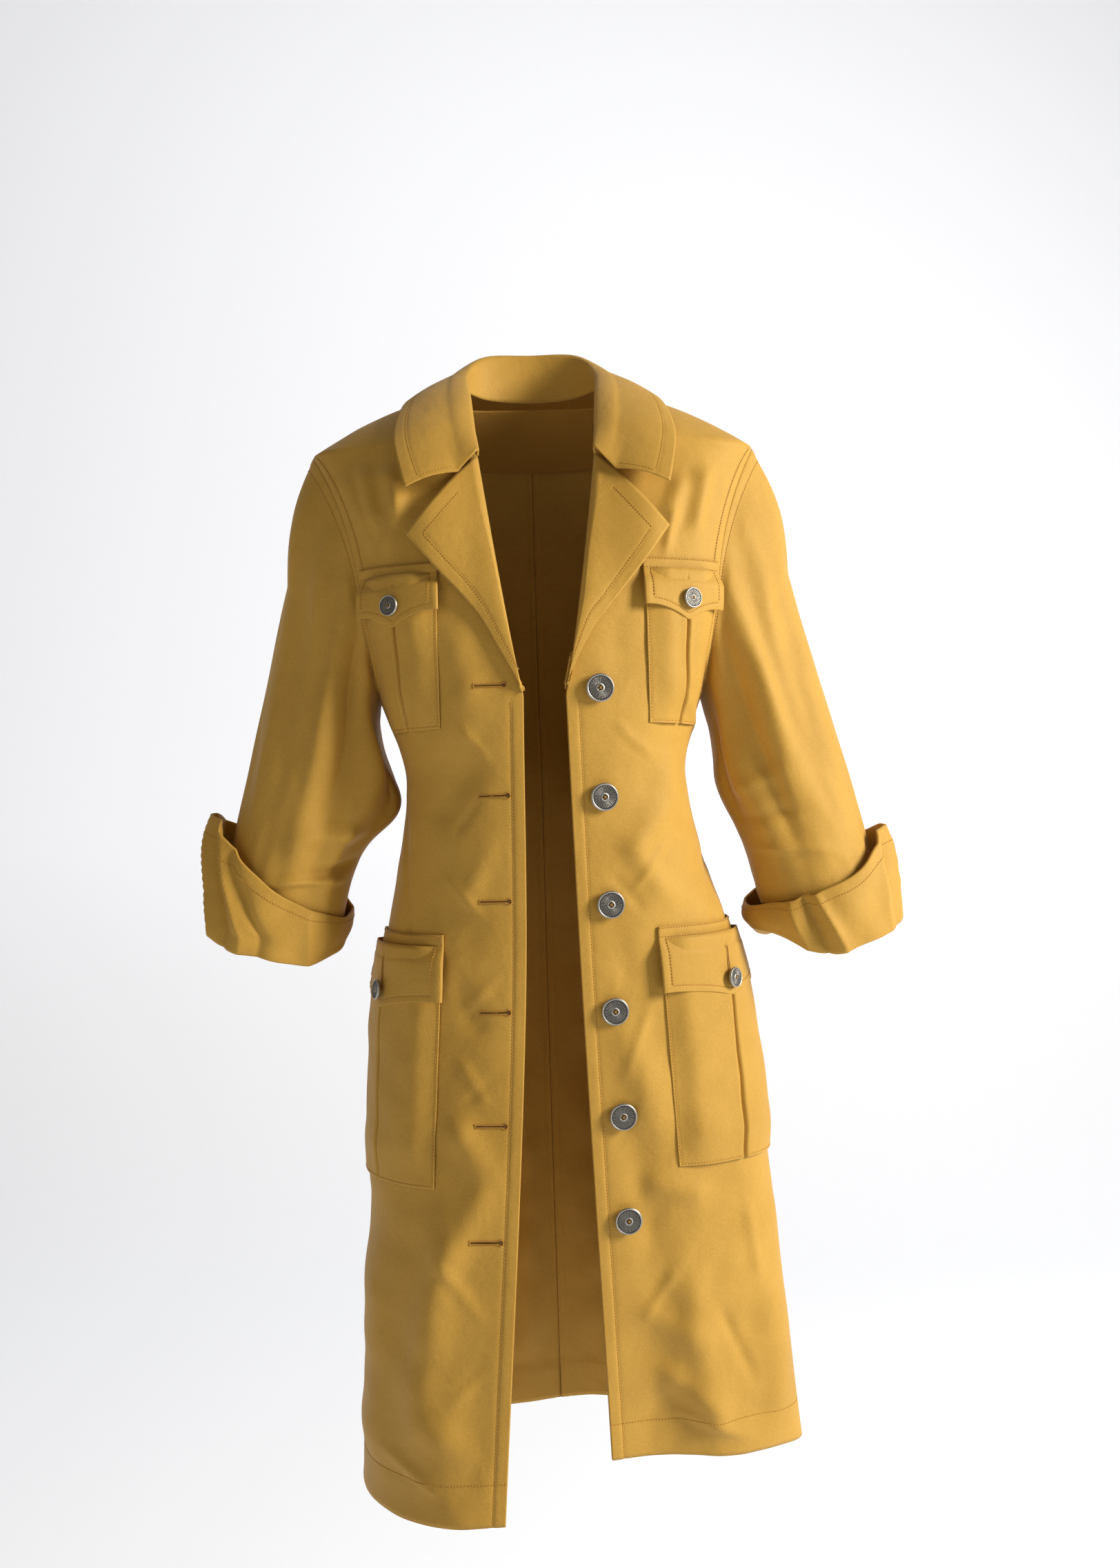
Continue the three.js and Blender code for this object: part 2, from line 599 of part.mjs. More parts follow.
for (const side of [-1, 1]) {
  const sleeveSurface = (u, v) => {
    const turn = 2 * Math.PI * u;
    const start = 0.008;
    const t = start + (1 - start) * v;
    const puff = sleevePuff * Math.sin(Math.PI * Math.min(t / 0.3, 1)) * Math.max(Math.cos(turn), 0);
    const wrist = armRing(side, turn, 0, wristWidthRadius, wristDepthRadius);
    const point = armholePoint(side, turn).lerp(wrist, t);
    return point.addScaledVector(armFrame(side).outward, puff);
  };
  const sleeveAt = (u, v, out) => {
    const step = 0.01;
    const point = sleeveSurface(u, v);
    const round = sleeveSurface(u + step, v).sub(sleeveSurface(u - step, v));
    const down = sleeveSurface(u, Math.min(v + step, 1)).sub(sleeveSurface(u, Math.max(v - step, 0)));
    const normal = round.cross(down).normalize().multiplyScalar(side);
    return point.addScaledVector(normal, out);
  };
  const sleeve = solid(shell(sleeveAt, 20, 12, 0, -clothThickness, true));
  const joint = new THREE.Vector3(side * jointHalf, 0, armholeMiddle);
  const drum = (radius) => {
    const geometry = new THREE.CylinderGeometry(radius, radius, 400, 48);
    return solid(geometry.translate(joint.x, joint.y, joint.z));
  };
  add(`sleeve_cap_${word(side)}`, geometryOf(sleeve.intersect(drum(capRadius))), colours.twill);
  add(`sleeve_${word(side)}`, geometryOf(sleeve.subtract(drum(capRadius + 0.5))), colours.twill);

  // the rolled cuff: a folded band round the sleeve's end, fullest just below its middle
  const profile = [[cuffDrop - cuffLength, 2], [cuffDrop - cuffLength, cuffRoll * 0.7],
    [cuffDrop - cuffLength * 0.5, cuffRoll], [cuffDrop - cuffLength * 0.12, cuffRoll + 3],
    [cuffDrop, cuffRoll * 0.4], [cuffDrop - 3, -3], [0.6, -3], [0.6, 2]];
  const around = 20;
  const positions = [];
  for (let i = 0; i < around; i++) {
    const turn = 2 * Math.PI * i / around;
    for (const [down, out] of profile) {
      const up = Math.max(-down, 0);
      const ring = armRing(side, turn, down, wristWidthRadius + out + sleeveWidthFlare * up,
        wristDepthRadius + out + sleeveDepthFlare * up);
      positions.push(...ring.toArray());
    }
  }
  const faces = [];
  const count = profile.length;
  for (let i = 0; i < around; i++) {
    for (let k = 0; k < count; k++) {
      const a = i * count + k;
      const b = i * count + (k + 1) % count;
      const c = ((i + 1) % around) * count + (k + 1) % count;
      const d = ((i + 1) % around) * count + k;
      faces.push(a, b, c, a, c, d);
    }
  }
  add(`rolled_cuff_${word(side)}`, facingOut(positions, faces), colours.twill);

  const padShape = new THREE.SphereGeometry(1, 16, 8).scale(...padSize);
  const pad = add(`shoulder_pad_${word(side)}`, padShape, colours.pad);
  pad.rotation.y = side * padTilt;
  pad.position.set(side * padHalf, shoulderLineY + 4, padHeight);
}

export default group;
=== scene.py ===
# A woman's long safari coat in mustard cotton twill, worn open: six metal buttons, four flap pockets,
# notched lapels and rolled-up sleeves. Shapes are worked out in millimetres and built in metres.

import math

import bmesh
import bpy
import numpy as np
from mathutils import Matrix, Vector


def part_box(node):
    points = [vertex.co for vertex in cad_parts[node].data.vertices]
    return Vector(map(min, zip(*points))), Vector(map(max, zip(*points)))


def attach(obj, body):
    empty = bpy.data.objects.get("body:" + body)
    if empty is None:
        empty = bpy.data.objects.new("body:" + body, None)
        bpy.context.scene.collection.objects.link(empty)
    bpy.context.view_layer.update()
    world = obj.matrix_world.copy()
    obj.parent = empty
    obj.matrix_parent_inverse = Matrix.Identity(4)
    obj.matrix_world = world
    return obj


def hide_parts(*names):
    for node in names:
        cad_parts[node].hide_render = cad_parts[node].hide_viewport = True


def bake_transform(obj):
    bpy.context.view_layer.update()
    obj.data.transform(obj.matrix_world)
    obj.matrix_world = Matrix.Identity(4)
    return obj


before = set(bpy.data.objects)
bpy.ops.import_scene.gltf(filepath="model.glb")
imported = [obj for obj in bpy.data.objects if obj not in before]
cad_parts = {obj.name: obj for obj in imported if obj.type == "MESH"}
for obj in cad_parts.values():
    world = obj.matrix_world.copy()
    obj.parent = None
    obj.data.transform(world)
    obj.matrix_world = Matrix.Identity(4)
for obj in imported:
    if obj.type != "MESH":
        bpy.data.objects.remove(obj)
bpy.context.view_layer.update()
MM = 0.001
SIDES = {-1: "right", 1: "left"}      # named for the wearer's own right and left

# ---- Camera, floor and light ---------------------------------------------------------------------
# The coat hangs in a plain white studio: a sheet of matt paper runs from the floor up the wall behind it,
# and a soft window-like lamp stands high on the wearer's left.

azimuth, pitch, roll = math.radians(-2.1), math.radians(0.4), math.radians(1.8)
look = Vector((-math.sin(azimuth) * math.cos(pitch), math.cos(azimuth) * math.cos(pitch), math.sin(pitch)))
level = Vector((math.cos(azimuth), math.sin(azimuth), 0))
upright = level.cross(look)
up = upright * math.cos(roll) + level * math.sin(roll)
right = level * math.cos(roll) - upright * math.sin(roll)
camera = bpy.data.objects.new("camera", bpy.data.cameras.new("camera"))
camera_place = (-0.037, -1.457, -0.400)
camera.matrix_world = Matrix.Translation(camera_place) @ Matrix((right, up, -look)).transposed().to_4x4()
camera.data.sensor_fit = "VERTICAL"
camera.data.sensor_height = 36
camera.data.lens = 36 * 2050 / 2274
bpy.context.collection.objects.link(camera)
scene = bpy.context.scene
scene.camera = camera
scene.view_settings.view_transform = "Standard"


def linear(colour):
    """A hex sRGB colour as the linear red, green, blue and alpha that a shader takes."""
    parts = [int(colour[i:i + 2], 16) / 255 for i in (1, 3, 5)]
    return [c / 12.92 if c <= 0.04045 else ((c + 0.055) / 1.055) ** 2.4 for c in parts] + [1]


def add_node(tree, kind, inputs=None, **settings):
    """A shader node with its settings, and with each input set to a value or linked to a socket."""
    made = tree.nodes.new(kind)
    for key, value in settings.items():
        setattr(made, key, value)
    for key, value in (inputs or {}).items():
        if isinstance(value, bpy.types.NodeSocket):
            tree.links.new(value, made.inputs[key])
        else:
            made.inputs[key].default_value = value
    return made


def new_material(name):
    """An empty material, its tree and its output node."""
    made = bpy.data.materials.new(name)
    made.use_nodes = True
    made.node_tree.nodes.clear()
    return made, made.node_tree, made.node_tree.nodes.new("ShaderNodeOutputMaterial")


def mesh_object(name, points, faces, *materials, slots=None):
    """An object from points in millimetres, smooth, with its faces turned outwards."""
    points = np.asarray(points, float) * MM
    faces = [list(face) for face in faces]
    first = np.array([[face[0], face[k], face[k + 1]] for face in faces for k in range(1, len(face) - 1)])
    a, b, c = (points[first[:, k]] for k in range(3))
    if (a * np.cross(b, c)).sum() < 0:
        faces = [face[::-1] for face in faces]
    data = bpy.data.meshes.new(name)
    data.from_pydata(points.tolist(), [], faces)
    data.polygons.foreach_set("use_smooth", [True] * len(faces))
    for material in materials:
        data.materials.append(material)
    if slots is not None:
        data.polygons.foreach_set("material_index", slots)
    made = bpy.data.objects.new(name, data)
    bpy.context.collection.objects.link(made)
    return made


# seamless background paper: matt white, with no gloss to show where the lamps are
paper, tree, output = new_material("matt white background paper")
grain = add_node(tree, "ShaderNodeTexNoise", {"Scale": 3.0, "Detail": 2.0})
tint = add_node(tree, "ShaderNodeMix", {0: grain.outputs[0], 6: linear("#EEF1F7"), 7: linear("#F2F5FB")},
                data_type="RGBA")
paper_shader = add_node(tree, "ShaderNodeBsdfPrincipled", {"Base Color": tint.outputs[2], "Roughness": 0.95,
                        "Emission Color": linear("#FBFCFF"), "Emission Strength": 0.22})
tree.links.new(paper_shader.outputs[0], output.inputs[0])

floor_height, wall_distance, curve_radius = -1620, 3200, 1100
sweep = [(-9000, floor_height)]
for step in range(13):
    turn = math.pi / 2 * step / 12
    sweep.append((wall_distance - curve_radius + curve_radius * math.sin(turn),
                  floor_height + curve_radius * (1 - math.cos(turn))))
sweep.append((wall_distance, 4200))
paper_points = [(x, y, z) for y, z in sweep for x in (-9000, 9000)]
paper_faces = [(2 * k, 2 * k + 1, 2 * k + 3, 2 * k + 2) for k in range(len(sweep) - 1)]
backdrop = mesh_object("paper_backdrop", paper_points, paper_faces, paper)


def lamp(name, place, target, size, power, colour):
    """A rectangular soft lamp at a place, turned to a target, in metres."""
    light = bpy.data.lights.new(name, "AREA")
    light.shape, light.size, light.size_y = "RECTANGLE", size[0], size[1]
    light.energy, light.color = power, linear(colour)[:3]
    made = bpy.data.objects.new(name, light)
    made.location = place
    made.rotation_euler = (Vector(target) - Vector(place)).to_track_quat("-Z", "Y").to_euler()
    bpy.context.collection.objects.link(made)
    return made


lamp("window_light", (2.9, -1.25, 0.65), (0.0, 0.0, -0.45), (0.8, 1.4), 162, "#FFFAF2")
lamp("fill_light", (-2.6, -2.4, 0.4), (0.0, 0.0, -0.5), (2.4, 2.4), 18, "#FFF3E2")
lamp("wall_light", (0.0, 0.9, 2.6), (0.0, 3.2, -0.4), (3.0, 1.0), 16, "#FFFFFF")
room = bpy.data.worlds.new("white room")
room.use_nodes = True
room.node_tree.nodes["Background"].inputs[0].default_value = linear("#F9F4EC")
room.node_tree.nodes["Background"].inputs[1].default_value = 0.15
scene.world = room

# ---- Fronts --------------------------------------------------------------------------------------
# Each front is one piece of cotton twill from the shoulder to the hem. The front edge and the hem are turned
# under and stitched 12 mm and 36 mm in, and a seam shapes it from the waist to the hip pocket.

# piece-dyed cotton twill: matt, a faint sheen from loose fibres, fine diagonal ribs and small creases
twill, tree, output = new_material("mustard cotton twill, piece-dyed")
place = add_node(tree, "ShaderNodeTexCoord").outputs["Object"]
patch = add_node(tree, "ShaderNodeTexNoise", {"Vector": place, "Scale": 7.0, "Detail": 4.0, "Roughness": 0.6})
fibre = add_node(tree, "ShaderNodeTexNoise", {"Vector": place, "Scale": 900.0, "Detail": 2.0})
tone = add_node(tree, "ShaderNodeMath", {0: patch.outputs[0], 1: fibre.outputs[0]}, operation="ADD")
half = add_node(tree, "ShaderNodeMath", {0: tone.outputs[0], 1: 0.5}, operation="MULTIPLY")
dye = add_node(tree, "ShaderNodeValToRGB", {"Fac": half.outputs[0]})
dye.color_ramp.elements[0].position, dye.color_ramp.elements[0].color = 0.3, linear("#AB812A")
dye.color_ramp.elements[1].position, dye.color_ramp.elements[1].color = 0.7, linear("#C5993E")
# ribs of a 2/2 twill lie 0.5 mm apart; drawn 1.1 mm apart, so that they still show
rib_spacing = 1.1 * MM
ribs = add_node(tree, "ShaderNodeTexWave", {"Vector": place, "Scale": 0.314 / rib_spacing, "Distortion": 0.6,
                "Detail": 1.0, "Detail Scale": 2.0}, bands_direction="DIAGONAL")
creases = add_node(tree, "ShaderNodeTexNoise", {"Vector": place, "Scale": 21.0, "Detail": 3.0,
                   "Roughness": 0.55, "Distortion": 0.4})
soft = add_node(tree, "ShaderNodeBump", {"Height": creases.outputs[0], "Distance": 0.005, "Strength": 0.36})
slub = add_node(tree, "ShaderNodeBump", {"Height": fibre.outputs[0], "Distance": 0.0004, "Strength": 0.3,
                "Normal": soft.outputs[0]})
weave = add_node(tree, "ShaderNodeBump", {"Height": ribs.outputs[1], "Distance": 0.0002, "Strength": 0.22,
                 "Normal": slub.outputs[0]})
twill_shader = add_node(tree, "ShaderNodeBsdfPrincipled", {"Base Color": dye.outputs[0], "Roughness": 0.7,
                        "IOR": 1.5, "Specular IOR Level": 0.38, "Sheen Weight": 0.08, "Sheen Roughness": 0.45,
                        "Normal": weave.outputs[0]})
tree.links.new(twill_shader.outputs[0], output.inputs[0])

# polyester core-spun thread, dyed to the cloth: a touch glossier than the cloth, twisted
thread, tree, output = new_material("mustard core-spun sewing thread")
place = add_node(tree, "ShaderNodeTexCoord").outputs["Object"]
twist = add_node(tree, "ShaderNodeTexNoise", {"Vector": place, "Scale": 1400.0, "Detail": 1.0})
shade = add_node(tree, "ShaderNodeMix", {0: twist.outputs[0], 6: linear("#A9761C"), 7: linear("#C8932F")},
                 data_type="RGBA")
thread_shader = add_node(tree, "ShaderNodeBsdfPrincipled", {"Base Color": shade.outputs[2], "Roughness": 0.55,
                         "Specular IOR Level": 0.4, "Sheen Weight": 0.1})
tree.links.new(thread_shader.outputs[0], output.inputs[0])

heights = [16, -48, -200, -297, -385, -600, -1060]        # neck, shoulder, chest, underarm, waist, hip, hem
widths = {-1: [74, 226, 200, 166, 141, 175, 204], 1: [74, 226, 200, 166, 144, 198, 246]}
depths = {(-1, -1): [14, 78, 130, 137, 132, 136, 196], (1, -1): [14, 78, 130, 137, 127, 110, 70],
          (-1, 1): [48, 88, 106, 98, 74, 106, 86], (1, 1): [48, 88, 106, 98, 74, 106, 86]}
shoulder_line = 8
squareness = 0.8
break_height, roll_top = -305, -70


def smooth(value):
    """0 below 0, 1 above 1, and a soft slope between."""
    t = np.clip(value, 0, 1)
    return t * t * (3 - 2 * t)


def bump(value, middle, spread):
    """A soft hill of height 1."""
    return np.exp(-((value - middle) / spread)**2)


def along(stations, values, z):
    """Smooth value at height z of a curve through values at falling heights."""
    s, v = np.array(stations, float), np.array(values, float)
    before = [max(k - 1, 0) for k in range(len(s))]
    after = [min(k + 1, len(s) - 1) for k in range(len(s))]
    slope = (v[after] - v[before]) / (s[after] - s[before])
    z = np.clip(np.asarray(z, float), s[-1], s[0])
    i = np.clip(np.searchsorted(-s, -z, side="right") - 1, 0, len(s) - 2)
    h = s[i + 1] - s[i]
    t = (z - s[i]) / h
    return ((2 * t**3 - 3 * t**2 + 1) * v[i] + (t**3 - 2 * t**2 + t) * h * slope[i]
            + (3 * t**2 - 2 * t**3) * v[i + 1] + (t**3 - t**2) * h * slope[i + 1])


def half_width(side, z):
    """Half the coat's width at a height; the shoulder rounds over at its tip."""
    z = np.asarray(z, float)
    drop = np.clip(heights[0] - z, 0, None) / (heights[0] - heights[1])
    shoulder = widths[side][0] + (widths[side][1] - widths[side][0]) * drop ** 0.62
    return np.where(z > heights[1], shoulder, along(heights[1:], widths[side][1:], z))


def skin(side, face, angle, z):
    """A point of the coat: face -1 is the front, 1 the back, and angle 0 is the side seam."""
    x = side * half_width(side, z) * np.clip(np.cos(angle), 0, 1) ** squareness
    y = shoulder_line + face * along(heights, depths[side, face], z) * np.sin(angle) ** squareness
    return np.stack([x, y, z + 0 * angle], -1)


def angle_at(side, x, z):
    """The angle round the coat at which a half width x is reached."""
    return np.arccos(np.clip(x / half_width(side, z), 0, 1) ** (1 / squareness))


def edge_half(side, z):
    """How far the front edge, or above the break the roll of the lapel, stands from the middle."""
    z = np.asarray(z, float)
    t = np.clip((z - break_height) / (roll_top - break_height), 0, 1.4)
    roll = 20 + 37 * t ** 0.85 + 5 * smooth((z - roll_top) / 12)
    low = along([break_height, -600, -1060], [20, 27, 60] if side < 0 else [20, 28, 45], z)
    return np.where(z > break_height, roll, low)


def armhole_angle(z):
    """Where the armhole cuts into the side of the body, as an angle from the side seam."""
    t = np.clip((heights[1] - z) / (heights[1] - heights[3]), 0, 1)
    return math.radians(33) * np.sin(math.pi * t) ** 0.45 * ((z < heights[1]) & (z > heights[3]))


def walk(side, face, start, reach, z):
    """Points found by going round the coat by reach from half width start, on each row of heights z."""
    z = np.asarray(z, float)
    first = angle_at(side, start, z)
    share = np.linspace(0, 1, 240) ** 1.5
    angles = first[:, None] * (1 - share) + 0.0001
    points = skin(side, face, angles, z[:, None] + 0 * angles)
    gone = np.concatenate([0 * z[:, None], np.cumsum(np.linalg.norm(np.diff(points, axis=1), axis=-1), 1)], 1)
    found = np.stack([np.interp(np.broadcast_to(reach, (len(z), np.shape(reach)[-1]))[k], gone[k], angles[k])
                      for k in range(len(z))])
    return skin(side, face, found, z[:, None] + 0 * found)


def girth(side, face, start, z):
    """Length round the coat from half width start to the side seam or the armhole."""
    z = np.asarray(z, float)
    first = angle_at(side, start, z)
    last = armhole_angle(z) + 0.0002
    turn = (np.minimum(last, first - 0.02) - first)[:, None]
    angles = first[:, None] + turn * np.linspace(0, 1, 200) ** 0.8
    points = skin(side, face, angles, z[:, None] + 0 * angles)
    return np.linalg.norm(np.diff(points, axis=1), axis=-1).sum(1)


def normals(grid, ring=False):
    """Unit normals of a grid of points."""
    if ring:
        across = np.roll(grid, -1, 1) - np.roll(grid, 1, 1)
    else:
        across = np.gradient(grid, axis=1)
    n = np.cross(across, np.gradient(grid, axis=0))
    return n / np.maximum(np.linalg.norm(n, axis=-1, keepdims=True), 1e-9)


def outward(grid, ring=False):
    """Normals of a grid on the body, turned away from the wearer."""
    n = normals(grid, ring)
    away = grid - np.array([0, shoulder_line, 0]) + np.array([0, 0, 20.0])
    away[..., 2] = 12
    return n if (n * away).sum() > 0 else -n


def cloth(name, grid, n, thickness, material, ring=False):
    """A closed layer of cloth: the grid is its outer face, the inner face lies thickness under it."""
    rows, columns = grid.shape[:2]
    under = grid - n * np.broadcast_to(np.asarray(thickness, float), (rows, columns))[..., None]
    points = np.concatenate([grid.reshape(-1, 3), under.reshape(-1, 3)])
    index = np.arange(rows * columns).reshape(rows, columns)
    a = index if ring else index[:, :-1]
    b = np.roll(index, -1, 1) if ring else index[:, 1:]
    outer = np.stack([a[:-1], b[:-1], b[1:], a[1:]], -1).reshape(-1, 4)
    layer = rows * columns
    inner = outer[:, ::-1] + layer
    rims = [(b[0], a[0]), (a[-1], b[-1])]
    if not ring:
        rims += [(index[:-1, 0], index[1:, 0]), (index[1:, -1], index[:-1, -1])]
    faces = np.concatenate([outer, inner] + [np.stack([p, q, q + layer, p + layer], -1) for p, q in rims])
    return mesh_object(name, points, faces.tolist(), material)


def on_grid(grid, u, v):
    """Points at shares u across and v down of a grid."""
    rows, columns = grid.shape[:2]
    x, y = np.clip(u, 0, 1) * (columns - 1), np.clip(v, 0, 1) * (rows - 1)
    i, j = np.minimum(x.astype(int), columns - 2), np.minimum(y.astype(int), rows - 2)
    fx, fy = (x - i)[..., None], (y - j)[..., None]
    return ((grid[j, i] * (1 - fx) + grid[j, i + 1] * fx) * (1 - fy)
            + (grid[j + 1, i] * (1 - fx) + grid[j + 1, i + 1] * fx) * fy)


def folds(x, z, lines):
    """Height of soft folds, each (x0, z0, x1, z1, width, height), which die out at both ends."""
    height = 0 * x * z
    for x0, z0, x1, z1, width, tall in lines:
        length = math.hypot(x1 - x0, z1 - z0)
        t = ((x - x0) * (x1 - x0) + (z - z0) * (z1 - z0)) / length**2
        off = ((x - x0) * (z1 - z0) - (z - z0) * (x1 - x0)) / length / width
        height = height + tall * np.exp(-off**2) * bump(np.clip(np.abs(t - 0.5) - 0.2, 0, None), 0, 0.17)
    return height


def crumple(x, z, seed):
    """Small uneven waves of worn cloth, under 1 mm high and 30 to 100 mm long, running every way."""
    x, z = x + 9 * np.sin(z / 63 + seed), z + 9 * np.sin(x / 51 - seed)
    height = 0 * x * z
    for k in range(11):
        way, length = 2.4 * k + 1.7 * seed, 27 + 8 * k
        height = height + length * 0.0045 * np.sin(
            (x * math.cos(way) + z * math.sin(way)) * 2 * math.pi / length + 1.3 * k * k + seed)
    return height


def stitch_points(line, n, length=2.5, pitch=3.1, radius=0.42):
    """Points and faces of a row of stitches along a line that lies on cloth, each one sunk at both ends."""
    gone = np.concatenate([[0], np.cumsum(np.linalg.norm(np.diff(line, axis=0), axis=1))])
    starts = np.arange(0.5, gone[-1] - length, pitch)
    at = lambda s, values: np.stack([np.interp(s, gone, values[:, k]) for k in range(3)], 1)
    a, b, out = at(starts, line), at(starts + length, line), at(starts + length / 2, n)
    return spindles(a, b, out, radius)


def spindles(a, b, out, radius):
    """Points and faces of short threads from a to b, thickest in the middle."""
    along_it = (b - a) / np.maximum(np.linalg.norm(b - a, axis=1, keepdims=True), 1e-9)
    side = np.cross(along_it, out)
    side /= np.maximum(np.linalg.norm(side, axis=1, keepdims=True), 1e-9)
    rings = []
    for share in (0.22, 0.78):
        middle = a + (b - a) * share + out * radius * 0.45
        rings += [middle + way for way in (side * radius, out * radius, -side * radius, -out * radius * 0.6)]
    points = np.stack([a - out * radius * 0.6] + rings + [b - out * radius * 0.6], 1)
    faces = []
    for k in range(len(points)):
        c = 10 * k
        for i in range(4):
            j = (i + 1) % 4
            faces += [(c, c + 1 + i, c + 1 + j), (c + 1 + i, c + 5 + i, c + 5 + j, c + 1 + j),
                      (c + 9, c + 5 + j, c + 5 + i)]
    return points.reshape(-1, 3), faces


def sewn(grid, n, *at):
    """A row of stitches on a grid of cloth: at some of its points, or at shares u across and v down."""
    line, out = (on_grid(values, *at) if len(at) == 2 else values[at[0]] for values in (grid, n))
    return stitch_points(line + out * 0.1, out)


def stitching(name, rows):
    """One object from several rows of stitches, each made by stitch_points or spindles."""
    points, faces, count = [], [], 0
    for p, f in rows:
        points.append(p)
        faces += [tuple(k + count for k in face) for face in f]
        count += len(p)
    made = mesh_object(name, np.concatenate(points), faces, thread)
    return made


def joined(near, far, count):
    """Columns near one edge and the other, with even ones between them."""
    between = near[:, -1:] + (far[:, :1] - near[:, -1:]) * np.linspace(0, 1, count)[1:-1]
    return np.concatenate([near, between, far], 1)


# the way the cloth hangs: drag lines from the shoulder and the bust, and looser folds down the skirt
front_folds = {
    -1: [(-84, -330, -50, -372, 4, 1.6), (-60, -396, -92, -440, 4, -1.3), (-104, -470, -60, -520, 4, 1.5),
         (-40, -560, -88, -606, 5, 1.6), (-96, -640, -58, -700, 5, 1.6), (-44, -655, -90, -690, 4, -1.3),
         (-70, -730, -36, -800, 4, 1.6), (-120, -820, -70, -890, 5, 1.8), (-50, -905, -110, -960, 5, 1.6),
         (-180, -1000, -110, -1036, 5, 2.2), (-80, -1000, -70, -1060, 6, 2), (-182, -100, -160, -168, 5, 2.2),
         (-196, -70, -172, -150, 9, 5), (-172, -62, -156, -150, 9, 4), (-150, -66, -128, -140, 10, 4),
         (-128, -88, -150, -176, 10, 3), (-90, -220, -60, -330, 20, 2.5), (-60, -350, -110, -440, 16, -2.5),
         (-40, -420, -90, -520, 12, 2.2), (-100, -560, -60, -640, 12, -2), (-108, -690, -40, -790, 15, 4.5),
         (-60, -750, -112, -850, 14, 3.2), (-98, -770, -150, -1000, 17, 7), (-60, -870, -95, -1060, 22, -4),
         (-176, -800, -186, -1060, 16, 4), (-150, -960, -70, -1010, 16, 3)],
    1: [(60, -330, 110, -372, 4, 1.4), (120, -440, 76, -500, 4, 1.5), (50, -470, 96, -520, 5, -1.4),
        (66, -560, 44, -640, 4, 1.3), (130, -300, 160, -350, 5, 1.6), (96, -600, 60, -690, 5, 1.6),
        (80, -690, 50, -760, 5, -1.5), (120, -860, 70, -930, 5, 1.6), (100, -1010, 190, -1046, 5, 2.2),
        (150, -900, 196, -1000, 6, -2), (186, -800, 200, -900, 6, 1.8), (134, -120, 120, -176, 5, 2.0),
        (196, -80, 172, -170, 9, 4.5), (170, -70, 150, -160, 10, 4.5), (146, -84, 120, -150, 10, 3.5),
        (70, -210, 60, -330, 18, -2), (160, -320, 100, -410, 14, 3.5), (148, -380, 66, -470, 15, 3.5),
        (60, -430, 128, -520, 12, 3), (40, -500, 80, -600, 13, -2), (46, -590, 112, -760, 22, 4.5),
        (60, -700, 96, -880, 18, -3.5), (70, -775, 158, -800, 14, 3.5), (120, -840, 150, -1060, 20, 5),
        (84, -960, 174, -1040, 14, 4.5), (60, -900, 150, -950, 16, 3), (206, -860, 222, -1060, 16, 4)],
}


def rumple(side, face, grid, ease):
    """How far the cloth stands off its plain shape, from the folds and from small uneven waves."""
    x, z = grid[..., 0], grid[..., 2]
    waves = crumple(x, z, side + 3 * face)
    drop = smooth((-z - 560) / 500)
    lines = front_folds[side] if face < 0 else back_folds
    return (1.5 * folds(x, z, lines) + waves * (0.8 + 0.5 * drop)) * ease


def settle(side, face, grid):
    """Lets the hem hang: it dips at the side seams and swings a little between them."""
    z = grid[..., 2]
    down = smooth((-z - 800) / 260)
    share = np.abs(grid[..., 0]) / widths[side][-1]
    from_side = smooth(np.abs(grid[..., 1] - shoulder_line) / 45)
    dip = (-13 if side < 0 else -8) * share**3 + (4 * from_side * (1 - share) if face < 0 else 0)
    moved = grid.copy()
    moved[..., 2] += dip * down
    moved[..., 1] += face * down * from_side * 5 * np.sin(grid[..., 0] / 23 + 0.6)
    return moved


